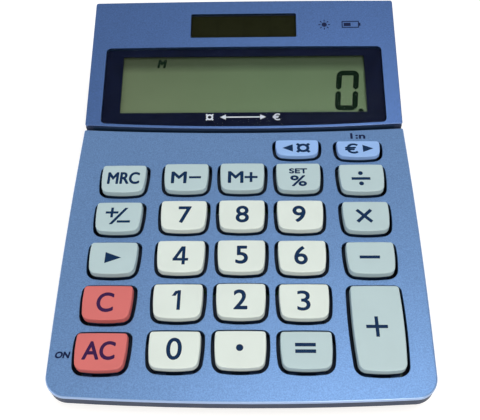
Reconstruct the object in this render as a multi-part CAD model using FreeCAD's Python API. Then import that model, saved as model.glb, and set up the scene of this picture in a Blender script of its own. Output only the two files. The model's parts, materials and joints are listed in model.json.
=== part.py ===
import FreeCAD, Part
import math
import os

from FreeCAD import Vector

# Desktop calculator: a wedge-shaped case with twenty-six keys, a tilted display and a solar cell.
# Millimetres. X runs to the right, Y from the user to the back, Z up from the table.
# The origin lies on the table, in the middle of the outline as seen from above.

# Overall form
front_height = 9.3
keyboard_tilt = 4.0
display_tilt = 17.9
foot_stand = 1.0
groove_width = 1.6

# Key holes and the webs between them, measured along the keyboard slope from its front edge
hole_width = 15.6
hole_length = 12.4
small_hole_length = 8.5
inner_web = 1.65
outer_web = 3.7
side_margin = 7.75
row_web = 1.6
small_row_web = 1.2
front_margin = 7.2
rear_margin = 3.4
row_bow = 0.67

# Outline of one key hole: widest behind its middle, narrower towards the front, with bowed ends
hole_front_taper = 0.8
hole_rear_taper = 0.22
hole_widest_share = 0.17
hole_front_bulge = 0.7
hole_rear_bulge = 0.12
hole_front_radius = 3.2
hole_rear_radius = 1.9

# Outline seen from above: straight sides at the rear that draw in towards a bowed front edge
side_straight = 58.0
side_draw = 1.95
front_bow = 1.5
rear_bow = 0.3
groove_bow = 1.6
front_corner_radius = 6.0
rear_corner_radius = 0.8
groove_corner_radius = 0.6

# Metal face plates
plate_thickness = 1.0
keyboard_edge_radius = 0.5
display_edge_radius = 0.35
hole_edge_radius = 0.15

# Key caps
key_height = 1.9
small_key_height = 1.5
key_gap = 0.95
key_draft = 0.1
key_edge_radius = 0.3
key_travel = 1.5
cap_drop = 0.1
skirt_step = 0.4
key_wall = 1.0
key_roof = 1.2
plunger_radius = 1.6
rib_thickness = 0.8
tab_reach = 0.45
tab_thickness = 0.8
tab_width = 2.4
tab_offset = 3.6
tab_clearance = 0.2

# Plastic case
case_inset = 0.15
case_wall = 1.8
key_deck = 1.3
display_deck = 1.4
case_hole_margin = 0.2
parting_depth = 4.2
groove_depth = 1.6
groove_wall = 1.2
lower_step = 0.2
lower_taper = 4.5
lower_edge_radius = 1.5
floor_thickness = 1.4
lip_height = 1.0
lip_thickness = 0.8
lip_clearance = 0.2

# Display window, its printed bezel and the glass cell under them
bezel_side_margin = 5.2
bezel_front = 0.95
bezel_length = 30.3
bezel_bow = 1.4
bezel_rear_bow = 0.3
bezel_corner_radius = 1.5
window_setback = 0.1
window_thickness = 1.2
window_edge = 0.2
bezel_thickness = 0.3
view_side_frame = 5.75
view_front_frame = 5.7
view_rear_frame = 2.9
view_corner_radius = 0.3
view_margin = 0.8
fit_clearance = 0.1
glass_side_margin = 2.9
glass_front_margin = 2.15
glass_rear_margin = 0.7
contact_ledge = 2.5
glass_thickness = 0.7
polariser_thickness = 0.2
polariser_margin = 1.0
locating_rib = 1.0
locating_gap = 0.3
rear_rib_near = 17.7
rear_rib_far = 31.0

# Holder that clamps the glass cell from behind
holder_thickness = 1.2
holder_side_reach = 1.1
holder_front_margin = 5.05
holder_rear_margin = 0.45
holder_corner_radius = 1.5
holder_frame = 5.0
holder_screw_side = 1.8
holder_screw_near = 3.7
holder_screw_far = 4.3
holder_screw_web = 0.3

# Solar cell and its window
solar_gap = 3.95
solar_width = 36.4
solar_length = 9.5
solar_rear_margin = 5.6
solar_corner_radius = 0.5
solar_cell_thickness = 1.1
solar_floor = 1.0
solar_pad_margin = 2.5
solar_wire_hole_radius = 0.9
solar_wire_across = 14.0

# Rubber key mat and circuit board
mat_thickness = 0.6
mat_margin = 0.6
mat_setback = 0.5
mat_rear_margin = 2.2
mat_corner_radius = 2.0
dome_height = 1.9
dome_base_radius = 3.5
dome_top_radius = 2.2
dome_wall = 0.5
dome_gap = 0.3
pill_radius = 1.3
board_thickness = 1.0
board_side_gap = 9.1
board_front = 8.0
board_overhang = 10.8
board_corner_radius = 2.5

# Screws: driven from below, plain shanks that stand for their threads
case_screw_radius = 1.2
case_screw_head_radius = 2.1
case_screw_head_height = 1.2
case_screw_bite = 4.4
case_screw_web = 0.8
case_boss_radius = 2.2
lower_boss_radius = 3.2
well_clearance = 0.4
board_screw_radius = 0.8
board_screw_head_radius = 1.5
board_screw_head_height = 0.9
board_screw_bite = 3.0
board_boss_radius = 1.7
screw_clearance = 0.02
through_clearance = 0.2
boss_clearance = 0.5
screw_tip_gap = 0.3
screw_tip_share = 0.35
screw_rim_share = 0.35
recess_width = 0.45
recess_reach_share = 0.62
recess_depth_share = 0.55
middle_screw_inset = 12.1
rear_screw_inset = 10.6
rear_screw_back = 10.1
rear_joint_height = 10.0
board_drop = 0.45

# Battery compartment
cell_radius = 5.8
cell_height = 5.4
cell_clearance = 0.6
cell_left = 16.0
cell_back = 24.6
cup_wall = 1.2
cup_headroom = 1.2
cup_roof = 1.2
cell_step = 0.6
cell_rim = 0.4
cell_cap_inset = 1.2
cell_cap_root = 0.5
cell_cap_rim = 0.3
door_width = 30.0
door_length = 22.0
door_thickness = 1.6
door_clearance = 0.2
door_corner_radius = 2.0
door_screw_inset = 3.6
door_screw_head_height = 1.0
door_screw_web = 0.6
door_screw_gap = 0.4
door_boss_floor = 1.0
pan_rim = 2.0
pan_thickness = 1.2
tongue_width = 8.0
tongue_thickness = 0.7
tongue_reach = 1.2
tongue_room = 0.3
tongue_root = 2.0
grip_groove_depth = 0.3
grip_groove_width = 0.8
grip_groove_length = 10.0
grip_groove_pitch = 1.6
grip_groove_margin = 3.0
grip_grooves = 4
contact_thickness = 0.25
contact_width = 4.0
top_contact_width = 3.2
contact_bend = 0.8
contact_clearance = 0.3
contact_tail = 2.6
contact_foot = 0.6
contact_rise = 1.2
side_slot_reach = 0.5
side_slot_depth = 1.5
top_slot_height = 0.9
land_start = 2.5
land_end = 0.5
ramp_end = 3.5

# Feet, board supports and the recess for a plate under the case
foot_radius = 4.5
foot_seat = 0.8
foot_rim = 0.4
foot_inset = 14.1
front_foot_back = 12.6
rear_foot_inset = 12.1
rear_foot_back = 22.6
support_radius = 1.6
support_inset = 11.0
support_setback = 3.5
middle_support_across = 20.0
label_width = 56.0
label_length = 26.0
label_depth = 0.3
label_corner_radius = 1.5

# Board parts
chip_radius = 6.0
chip_height = 1.5
chip_rounding = 1.2
chip_across = 4.0
chip_back = 14.0
capacitor_radius = 2.0
capacitor_length = 7.0
capacitor_rim = 0.4
capacitor_across = 26.0
capacitor_behind = 4.0
capacitor_gap = 0.1
lead_radius = 0.25
lead_offset = 0.9
lead_reach = 2.0
lead_root = 0.5
lead_bend = 0.6
resistor_count = 4
resistor_left = 18.0
resistor_pitch = 5.0
resistor_back = 6.0
resistor_length = 2.0
resistor_width = 1.2
resistor_height = 0.6

# Wires and film
wire_radius = 0.45
wire_pad_back = 4.0
wire_turn = 8.0
wire_drop = 2.6
wire_seat = 0.8
wire_start = 6.0
red_wire_rise = 0.3
black_wire_fall = 0.6
solar_wire_lane = 7.0
solar_wire_exit = 6.0
solar_wire_back = 14.0
solar_wire_fall = 7.0
film_thickness = 0.15
film_width = 44.0
film_offset = 8.0
film_glass_margin = 0.2
film_turn = 0.7
film_land = 3.0
film_board_margin = 0.6
film_bend = 0.6

# Directions and derived heights
TURN = math.radians(keyboard_tilt)
RISE = math.radians(display_tilt)
inner_column = hole_width + inner_web
outer_column = inner_column + hole_width + outer_web
case_width = 2 * outer_column + hole_width + 2 * side_margin
row_pitch = hole_length + row_web
small_row_rise = hole_length + small_row_web
last_row = front_margin + 4 * row_pitch
keyboard_length = last_row + small_row_rise + small_hole_length + rear_margin
crease = keyboard_length + groove_width
bezel_width = case_width - 2 * bezel_side_margin
solar_front = bezel_front + bezel_length + solar_gap
display_length = solar_front + solar_length + solar_rear_margin
view_width = bezel_width - 2 * view_side_frame
view_front = bezel_front + view_front_frame
view_length = bezel_length - view_front_frame - view_rear_frame
glass_width = bezel_width - 2 * glass_side_margin
glass_front = bezel_front + glass_front_margin
glass_length = bezel_length - glass_front_margin - glass_rear_margin
holder_width = bezel_width + 2 * holder_side_reach
holder_front = bezel_front + holder_front_margin
holder_length = bezel_length - holder_front_margin - holder_rear_margin
total_depth = crease * math.cos(TURN) + display_length * math.cos(RISE)
front_y = -total_depth / 2
rear_y = total_depth / 2
crease_y = front_y + crease * math.cos(TURN)
crease_z = front_height + crease * math.sin(TURN)
half_width = case_width / 2
board_half_width = half_width - board_side_gap
board_rear = keyboard_length + board_overhang
mat_half_width = board_half_width - mat_margin
mat_front = board_front + mat_setback
mat_rear = keyboard_length - mat_rear_margin
door_screw_offset = door_width / 2 - door_screw_inset
base_z = foot_stand
floor_z = base_z + floor_thickness
deck_under = plate_thickness + key_deck
tab_top = deck_under + tab_clearance
key_bottom = tab_top + tab_thickness
dome_top = key_bottom + dome_gap
mat_top = dome_top + dome_height
pill_gap = key_travel - dome_gap
board_top = mat_top + mat_thickness
board_under = board_top + board_thickness
ledge_top = window_setback + window_thickness + bezel_thickness
ledge_under = plate_thickness + display_deck
glass_top = ledge_under + polariser_thickness
glass_middle = glass_top + glass_thickness
glass_under = glass_middle + glass_thickness
holder_top = glass_under + polariser_thickness
holder_under = holder_top + holder_thickness
solar_top = window_setback + window_thickness
solar_under = solar_top + solar_cell_thickness
columns = [-outer_column, -inner_column, 0.0, inner_column, outer_column]
far = 200.0
overrun = 20.0
cut_over = 1.0
bend_share = 0.45
rear_end = crease + display_length + overrun
smallest_rounding = 0.02
same_level = 0.001

# Keys by row from the front, and by column from the left
key_rows = [
    ["key_all_clear", "key_0", "key_decimal", "key_equals", "key_plus"],
    ["key_clear", "key_1", "key_2", "key_3", None],
    ["key_backspace", "key_4", "key_5", "key_6", "key_minus"],
    ["key_sign", "key_7", "key_8", "key_9", "key_times"],
    ["key_memory_recall", "key_memory_minus", "key_memory_plus", "key_percent", "key_divide"],
    [None, None, None, "key_convert_local", "key_convert_rate"],
]
tall_key = "key_plus"


# Places and helpers


def keyboard_frame():
    """Local keyboard axes: X right, Y up the slope from its front edge, Z out of the plate's face."""
    turn = FreeCAD.Rotation(Vector(1, 0, 0), keyboard_tilt)
    return FreeCAD.Placement(Vector(0, front_y, front_height), turn)


def display_frame():
    """Local display axes: the same, measured from the crease between keyboard and display."""
    turn = FreeCAD.Rotation(Vector(1, 0, 0), display_tilt)
    return FreeCAD.Placement(Vector(0, crease_y, crease_z), turn)


def placed(shape, frame):
    moved = shape.copy()
    moved.Placement = frame.multiply(moved.Placement)
    return moved


def on_keyboard(shape):
    return placed(shape, keyboard_frame())


def on_display(shape):
    return placed(shape, display_frame())


def keyboard_point(v, depth):
    """Height and distance of a point on the keyboard slope, this deep below the plate's face."""
    return keyboard_frame().multVec(Vector(0, v, -depth))


def display_point(d, depth):
    return display_frame().multVec(Vector(0, d, -depth))


def row_shift(u):
    """The key rows bow a little: the outer columns lie nearer the user."""
    return -row_bow * (u / outer_column) ** 2


def gap_between_rows(row, u):
    """Middle of the bridge in front of this row, counted from the front row as 0."""
    return front_margin + row * row_pitch - (row_pitch - hole_length) / 2 + row_shift(u)


def single(shape):
    """The one solid of a boolean's result, with faces in one plane merged."""
    merged = shape.removeSplitter()
    if len(merged.Solids) == 1:
        return merged.Solids[0]
    return merged


def box(x0, x1, y0, y1, z0, z1):
    return Part.makeBox(x1 - x0, y1 - y0, z1 - z0, Vector(x0, y0, z0))


def post(x, y, z0, z1, radius):
    return Part.makeCylinder(radius, z1 - z0, Vector(x, y, z0))


def side_line(start, middle, end):
    """One side of an outline, walked anticlockwise: a straight run, or an arc through its middle."""
    if middle is None:
        along = end - start
        along.normalize()
        return {"point": start, "inward": Vector(-along.y, along.x, 0), "centre": None}
    circle = Part.Arc(start, middle, end).toShape().Curve
    turn = (middle - start).cross(end - middle).z
    return {"centre": circle.Center, "radius": circle.Radius, "hand": math.copysign(1.0, turn)}


def inside(side, point):
    """How far a point lies inside one side, and the direction straight away from that side."""
    if side["centre"] is None:
        return (point - side["point"]).dot(side["inward"]), side["inward"]
    arm = point - side["centre"]
    return side["hand"] * (side["radius"] - arm.Length), arm * (-side["hand"] / arm.Length)


def equally_far(first, second, corner, distance):
    """The point near a corner that lies this far inside both sides."""
    point = corner
    for _ in range(20):
        gap_one, one = inside(first, point)
        gap_two, two = inside(second, point)
        spread = one.x * two.y - one.y * two.x
        miss_one = distance - gap_one
        miss_two = distance - gap_two
        shift_x = (miss_one * two.y - miss_two * one.y) / spread
        shift_y = (miss_two * one.x - miss_one * two.x) / spread
        point = point + Vector(shift_x, shift_y, 0)
    return point


def outline(corners, middles, radii, growth=0.0):
    """A flat face with rounded corners, all of it moved outwards by growth, or inwards if negative.

    Each side runs from its corner to the next, straight or bowed through its middle point.
    A radius of None marks a corner where the two sides already run on smoothly.
    """
    count = len(corners)
    sides = [side_line(corners[i], middles[i], corners[(i + 1) % count]) for i in range(count)]
    ends = [corner_ends(sides[i - 1], sides[i], corners[i], radii[i], growth) for i in range(count)]
    edges = []
    for i, side in enumerate(sides):
        first, middle, last = ends[i]
        if middle is not None:
            edges.append(Part.Arc(first, middle, last).toShape())
        following = ends[(i + 1) % count][0]
        if side["centre"] is None:
            edges.append(Part.LineSegment(last, following).toShape())
            continue
        arm = (last + following) * 0.5 - side["centre"]
        arm.normalize()
        bulge = side["centre"] + arm * (last - side["centre"]).Length
        edges.append(Part.Arc(last, bulge, following).toShape())
    return Part.Face(Part.Wire(edges))


def corner_ends(before, after, corner, radius, growth):
    """First point, middle and last point of a corner's rounding. A sharp or smooth corner has no middle."""
    if radius is None:
        point = corner - inside(after, corner)[1] * growth
        return point, None, point
    rounded = max(radius + growth, 0.0)
    centre = equally_far(before, after, corner, rounded - growth)
    if rounded < smallest_rounding:
        return centre, None, centre
    one = inside(before, centre)[1]
    two = inside(after, centre)[1]
    between = one + two
    between.normalize()
    return centre - one * rounded, centre - between * rounded, centre - two * rounded


def rectangle(width, length, radius, x=0.0, y=0.0):
    """A rounded rectangle about (x, y)."""
    corners = [
        Vector(x - width / 2, y - length / 2, 0),
        Vector(x + width / 2, y - length / 2, 0),
        Vector(x + width / 2, y + length / 2, 0),
        Vector(x - width / 2, y + length / 2, 0),
    ]
    return outline(corners, [None] * 4, [radius] * 4)


def slab(face, z0, z1):
    """The face as a plate between two heights."""
    plate = face.extrude(Vector(0, 0, z1 - z0))
    plate.translate(Vector(0, 0, z0))
    return plate


def at_height(face, z):
    moved = face.copy()
    moved.translate(Vector(0, 0, z))
    return moved


def top_edges(shape, z):
    """Edges that lie whole at one height."""
    return [edge for edge in shape.Edges if all(abs(v.Z - z) < same_level for v in edge.Vertexes)]


def joined(shapes):
    return shapes[0].multiFuse(shapes[1:]) if len(shapes) > 1 else shapes[0]


def without(shape, cutters):
    return shape.cut(joined(cutters)) if cutters else shape


def profile_block(points):
    """A block with this side view, wider than the case."""
    corners = [Vector(-far, p.y, p.z) for p in points]
    face = Part.Face(Part.makePolygon(corners + corners[:1]))
    return face.extrude(Vector(2 * far, 0, 0))


def crossing(first, second, third, fourth):
    """Where the line through the first two points meets the line through the last two, in side view."""
    a = second - first
    b = fourth - third
    scale = a.y * b.z - a.z * b.y
    t = ((third.y - first.y) * b.z - (third.z - first.z) * b.y) / scale
    return first + a * t


def plan_face(inset=0.0, corner_growth=0.0):
    """The case outline seen from above, drawn in by inset. Its corners can be kept wider."""
    front_corner = Vector(half_width - side_draw, front_y + front_bow, 0)
    draw_end = Vector(half_width, rear_y - side_straight, 0)
    rear_corner = Vector(half_width, rear_y - rear_bow, 0)
    reach = draw_end.y - front_corner.y
    bend = (reach ** 2 + side_draw ** 2) / (2 * side_draw)
    half_draw = bend - math.sqrt(bend ** 2 - reach ** 2 / 4)
    side_middle = Vector(half_width - half_draw, draw_end.y - reach / 2, 0)
    right = [front_corner, draw_end, rear_corner]
    left = [Vector(-p.x, p.y, 0) for p in reversed(right)]
    middles = [
        side_middle,
        None,
        Vector(0, rear_y, 0),
        None,
        Vector(-side_middle.x, side_middle.y, 0),
        Vector(0, front_y, 0),
    ]
    front_radius = front_corner_radius + corner_growth
    rear_radius = rear_corner_radius + corner_growth
    radii = [front_radius, None, rear_radius, rear_radius, None, front_radius]
    return outline(right + left, middles, radii, -inset)


def plan_prism(inset):
    """The whole outline, drawn in by inset, as a tall upright prism."""
    return slab(plan_face(inset), -far / 4, far / 2)


def bowed_band(near, rear, bow):
    """The strip between two bowed lines that cross the case, both curved towards the user."""
    across = half_width + overrun
    reach = bow * (across / half_width) ** 2
    corners = [
        Vector(-across, near + reach, 0),
        Vector(across, near + reach, 0),
        Vector(across, rear + reach, 0),
        Vector(-across, rear + reach, 0),
    ]
    return outline(corners, [Vector(0, near, 0), None, Vector(0, rear, 0), None], [0] * 4)


def rounded_path(points, radius=None):
    """Straight runs through the points, joined by tangent arcs as large as the runs allow."""
    edges = []
    start = points[0]
    for before, corner, after in zip(points, points[1:], points[2:]):
        into = corner - before
        out = after - corner
        turn = into.getAngle(out)
        bend = radius or bend_share * min(into.Length, out.Length) / math.tan(turn / 2)
        reach = bend * math.tan(turn / 2)
        into.normalize()
        out.normalize()
        first = corner - into * reach
        last = corner + out * reach
        inward = out - into
        inward.normalize()
        middle = corner + inward * (bend / math.cos(turn / 2) - bend)
        edges.append(Part.LineSegment(start, first).toShape())
        edges.append(Part.Arc(first, middle, last).toShape())
        start = last
    edges.append(Part.LineSegment(start, points[-1]).toShape())
    return Part.Wire(edges)


def wire_along(points, radius, bend=None):
    """A round wire that follows the points."""
    circle = Part.makeCircle(radius, points[0], points[1] - points[0])
    return rounded_path(points, bend).makePipeShell([Part.Wire([circle])], True, False)


def strip_along(points, across, width, thickness, bend):
    """A bent strip: sheet metal or film that follows the points, with its width along across."""
    forward = points[1] - points[0]
    forward.normalize()
    side = across * (width / 2)
    up = across.cross(forward) * (thickness / 2)
    start = points[0]
    corners = [start - side - up, start + side - up, start + side + up, start - side + up]
    profile = Part.makePolygon(corners + corners[:1])
    return rounded_path(points, bend).makePipeShell([profile], True, False)


def screw(shank_radius, shank_length, head_radius, head_height):
    """A pan-head screw that points up, its head's seat at z = 0."""
    head = Part.makeCylinder(head_radius, head_height, Vector(0, 0, -head_height))
    rim = top_edges(head, -head_height)
    head = head.makeFillet(head_height * screw_rim_share, rim)
    tip = shank_radius
    shank = Part.makeCylinder(shank_radius, shank_length - tip)
    tip_base = Vector(0, 0, shank_length - tip)
    point = Part.makeCone(shank_radius, shank_radius * screw_tip_share, tip, tip_base)
    arm = head_radius * recess_reach_share
    cross_depth = head_height * recess_depth_share
    half = recess_width / 2
    low = -head_height - cut_over
    slots = [
        box(-arm, arm, -half, half, low, -head_height + cross_depth),
        box(-half, half, -arm, arm, low, -head_height + cross_depth),
    ]
    return single(without(joined([head, shank, point]), slots))


# Key layout


def key_list():
    """Name, middle, hole length and height of every key."""
    keys = []
    for row, names in enumerate(key_rows):
        for column, name in enumerate(names):
            if name is None:
                continue
            u = columns[column]
            near = front_margin + row * row_pitch
            length = hole_length
            height = key_height
            if row == len(key_rows) - 1:
                near = last_row + small_row_rise
                length = small_hole_length
                height = small_key_height
            if name == tall_key:
                length = row_pitch + hole_length
            keys.append({"name": name, "u": u, "v": near + length / 2 + row_shift(u),
                         "length": length, "height": height})
    return keys


def dome_places():
    """Middle of each rubber dome. The tall key stands on two."""
    places = []
    for key in KEYS:
        offsets = [-row_pitch / 2, row_pitch / 2] if key["name"] == tall_key else [0.0]
        places += [(key["u"], key["v"] + offset) for offset in offsets]
    return places


def hole_face(length, growth=0.0):
    """Key hole outline about its middle: sides that draw in to a bowed front edge with wide corners."""
    x = hole_width / 2
    y = length / 2
    widest = length * hole_widest_share
    front_x = x - hole_front_taper
    rear_x = x - hole_rear_taper
    front_line = -y + hole_front_bulge
    rear_line = y - hole_rear_bulge
    corners = [
        Vector(-front_x, front_line, 0),
        Vector(front_x, front_line, 0),
        Vector(rear_x, rear_line, 0),
        Vector(-rear_x, rear_line, 0),
    ]
    middles = [Vector(0, -y, 0), Vector(x, widest, 0), Vector(0, y, 0), Vector(-x, widest, 0)]
    radii = [hole_front_radius, hole_front_radius, hole_rear_radius, hole_rear_radius]
    return outline(corners, middles, radii, growth)


def key_holes(growth, z0, z1):
    """All key holes as prisms in keyboard axes."""
    prisms = []
    for key in KEYS:
        prism = slab(hole_face(key["length"], growth), z0, z1)
        prism.translate(Vector(key["u"], key["v"], 0))
        prisms.append(prism)
    return prisms


def key_solid(length, height):
    """A moulded key about the middle of its hole: drafted cap, stepped skirt, retaining tabs, plunger."""
    foot = at_height(hole_face(length, -key_gap), -cap_drop)
    crown = at_height(hole_face(length, -key_gap - key_draft), height)
    cap = Part.makeLoft([foot.OuterWire, crown.OuterWire], True, True)
    cap = cap.makeFillet(key_edge_radius, top_edges(cap, height))
    skirt_inset = key_gap + skirt_step
    skirt = slab(hole_face(length, -skirt_inset), -key_bottom, 0)
    pieces = [cap, skirt]
    reach = length / 2 + tab_reach
    root = length / 2 - skirt_inset - key_wall
    for side in (-1, 1):
        for offset in (-tab_offset, tab_offset):
            near, rear = sorted((side * root, side * reach))
            left = offset - tab_width / 2
            pieces.append(box(left, left + tab_width, near, rear, -key_bottom, -tab_top))
    shell = joined(pieces)
    inner_face = hole_face(length, -skirt_inset - key_wall)
    hollow = slab(inner_face, -key_bottom - cut_over, height - key_roof)
    shell = shell.cut(hollow)
    middles = [-row_pitch / 2, row_pitch / 2] if length > hole_length else [0.0]
    roof = height - key_roof / 2
    rib_end = hole_width / 2 - skirt_inset - key_wall / 2
    stems = []
    for middle in middles:
        stems.append(post(0, middle, -key_bottom, roof, plunger_radius))
        stems.append(box(-rib_end, rib_end, middle - rib_thickness / 2, middle + rib_thickness / 2,
                         -key_bottom + tab_thickness, roof))
    return single(joined([shell] + stems))


def make_keys():
    nodes = {}
    solids = {}
    for key in KEYS:
        form = (key["length"], key["height"])
        if form not in solids:
            solids[form] = key_solid(*form)
        solid = solids[form].copy()
        solid.translate(Vector(key["u"], key["v"], 0))
        nodes[key["name"]] = on_keyboard(solid)
    return nodes


# Face plates


def make_keyboard_faceplate():
    """Metal plate with a rounded rim, one rounded hole for each key."""
    blank = plan_slab_keyboard(0.0, -plate_thickness, 0.0)
    blank = rounded_plate(blank, keyboard_frame(), keyboard_length, keyboard_edge_radius)
    cutters = [on_keyboard(prism) for prism in key_holes(0.0, -plate_thickness - cut_over, cut_over)]
    plate = without(blank, cutters)
    frame = keyboard_frame()
    edges = [edge for edge in plate.Edges if on_slope(edge, frame) and near_key(edge, frame)]
    return single(plate.makeFillet(hole_edge_radius, edges))


def plan_slab_keyboard(inset, z0, z1):
    """The part of the outline in front of the groove, between two levels of the keyboard slope."""
    across = half_width + overrun
    reach = groove_bow * (across / half_width) ** 2
    corners = [
        Vector(-across, -overrun, 0),
        Vector(across, -overrun, 0),
        Vector(across, keyboard_length + reach, 0),
        Vector(-across, keyboard_length + reach, 0),
    ]
    sheet = outline(corners, [None, None, Vector(0, keyboard_length, 0), None], [0] * 4)
    return on_keyboard(slab(sheet, z0, z1)).common(plan_prism(inset))


def plan_slab_display(inset, z0, z1):
    """The part of the outline behind the groove, between two levels of the display slope."""
    across = half_width + overrun
    reach = groove_bow * (across / half_width) ** 2
    corners = [
        Vector(-across, reach, 0),
        Vector(across, reach, 0),
        Vector(across, display_length + overrun, 0),
        Vector(-across, display_length + overrun, 0),
    ]
    sheet = outline(corners, [Vector(0, 0, 0), None, None, None], [0] * 4)
    return on_display(slab(sheet, z0, z1)).common(plan_prism(inset))


def rounded_plate(blank, frame, groove_side, radius):
    """Round a plate's two corners beside the groove, then the whole rim of its face."""
    back = frame.inverse()
    corners = []
    for edge in blank.Edges:
        ends = [back.multVec(v.Point) for v in edge.Vertexes]
        through = abs(ends[0].z - ends[-1].z) > plate_thickness / 2
        if through and all(abs(p.y - groove_side) < 2 * groove_bow for p in ends):
            corners.append(edge)
    blank = blank.makeFillet(groove_corner_radius, corners)
    rim = [edge for edge in blank.Edges if on_slope(edge, frame)]
    return blank.makeFillet(radius, rim)


def on_slope(edge, frame):
    """Whether an edge lies in the plane of a plate's face."""
    back = frame.inverse()
    ends = [back.multVec(v.Point) for v in edge.Vertexes]
    middle = back.multVec(edge.valueAt((edge.FirstParameter + edge.LastParameter) / 2))
    return all(abs(p.z) < same_level for p in ends + [middle])


def near_key(edge, frame):
    """Whether an edge belongs to a key hole."""
    point = frame.inverse().multVec(edge.valueAt((edge.FirstParameter + edge.LastParameter) / 2))
    for key in KEYS:
        beside = abs(point.x - key["u"]) - hole_width / 2
        beyond = abs(point.y - key["v"]) - key["length"] / 2
        if max(beside, beyond) < fit_clearance:
            return True
    return False


def bezel_face(growth=0.0):
    """Outline of the display window: front edge bowed like the groove, rear edge slightly bowed."""
    x = bezel_width / 2
    rear = bezel_front + bezel_length
    corners = [
        Vector(-x, bezel_front + bezel_bow, 0),
        Vector(x, bezel_front + bezel_bow, 0),
        Vector(x, rear - bezel_rear_bow, 0),
        Vector(-x, rear - bezel_rear_bow, 0),
    ]
    middles = [Vector(0, bezel_front, 0), None, Vector(0, rear, 0), None]
    return outline(corners, middles, [bezel_corner_radius] * 4, growth)


def solar_face(growth=0.0):
    return rectangle(solar_width + 2 * growth, solar_length + 2 * growth, solar_corner_radius + growth,
                     0, solar_front + solar_length / 2)


def make_display_faceplate():
    """Metal plate round the display window and the solar window."""
    blank = plan_slab_display(0.0, -plate_thickness, 0.0)
    blank = rounded_plate(blank, display_frame(), 0.0, display_edge_radius)
    cutters = [
        on_display(slab(bezel_face(fit_clearance), -plate_thickness - cut_over, cut_over)),
        on_display(slab(solar_face(fit_clearance), -plate_thickness - cut_over, cut_over)),
    ]
    return single(without(blank, cutters))


# Upper case


def case_line(depth_keyboard, depth_display):
    """Side view of the top surface, this deep below the plates, from front to rear."""
    front = keyboard_point(-overrun, depth_keyboard)
    knee = crossing(front, keyboard_point(crease, depth_keyboard),
                    display_point(0, depth_display), display_point(display_length, depth_display))
    return [front, knee, display_point(display_length + overrun, depth_display)]


def parting_line():
    return [keyboard_point(rear_end, parting_depth), keyboard_point(-overrun, parting_depth)]


def case_screw_places():
    """X, Y and the height where upper and lower boss meet, of each case screw."""
    places = []
    bridge = (inner_column + outer_column) / 2
    for side in (-1, 1):
        front = keyboard_point(gap_between_rows(1, bridge), board_under + board_drop)
        middle = keyboard_point(keyboard_length, board_under + board_drop)
        places.append((side * bridge, front.y, front.z))
        places.append((side * (half_width - middle_screw_inset), middle.y, middle.z))
        rear_x = half_width - rear_screw_inset
        places.append((side * rear_x, rear_y - rear_screw_back, rear_joint_height))
    return places


def board_screw_places():
    """Places on the keyboard slope of the screws that hold the board to the upper case."""
    inner = inner_column / 2
    outer = (inner_column + outer_column) / 2
    places = []
    for side in (-1, 1):
        places.append((side * inner, gap_between_rows(2, inner)))
        places.append((side * inner, gap_between_rows(4, inner)))
        places.append((side * outer, gap_between_rows(3, outer)))
    return places


def holder_screw_places():
    across = holder_width / 2 - holder_screw_side
    distances = (holder_front + holder_screw_near, holder_front + holder_length - holder_screw_far)
    return [(side * across, d) for side in (-1, 1) for d in distances]


def upper_bosses():
    """Bosses that hang from the deck, for the case, board and holder screws."""
    bosses = []
    roof = profile_block(case_line(plate_thickness, plate_thickness) + parting_far())
    for x, y, z in case_screw_places():
        bosses.append(post(x, y, z, z + far / 4, case_boss_radius).common(roof))
    for u, v in board_screw_places():
        bosses.append(on_keyboard(post(u, v, -board_top, -deck_under + key_deck / 2, board_boss_radius)))
    root = -ledge_under + display_deck / 4
    for u, d in holder_screw_places():
        bosses.append(on_display(post(u, d, -holder_top, root, board_boss_radius)))
    return bosses


def parting_far():
    """Two points far below the table, to close a side view from the bottom."""
    return [Vector(0, far / 2, -far / 2), Vector(0, -far / 2, -far / 2)]


def locating_ribs():
    """Four low walls round the glass cell."""
    x = glass_width / 2 + locating_gap
    near = glass_front - locating_gap
    back = glass_front + glass_length + locating_gap
    z1 = -ledge_under + display_deck / 4
    arm = glass_length / 4
    middle = (near + back) / 2
    ribs = [
        box(-x - locating_rib, -x, middle - arm, middle + arm, -holder_top, z1),
        box(x, x + locating_rib, middle - arm, middle + arm, -holder_top, z1),
        box(-rear_rib_far, -rear_rib_near, back, back + locating_rib, -holder_top, z1),
        box(rear_rib_near, rear_rib_far, back, back + locating_rib, -holder_top, z1),
    ]
    return [on_display(rib) for rib in ribs]


def groove_beam(growth):
    """Cross beam under the groove, as a block that reaches down to the groove's floor."""
    beam = bowed_band(keyboard_length - groove_wall - growth, crease + groove_wall + growth, groove_bow)
    return on_keyboard(slab(beam, -plate_thickness - groove_depth - groove_wall - growth, 0))


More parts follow.
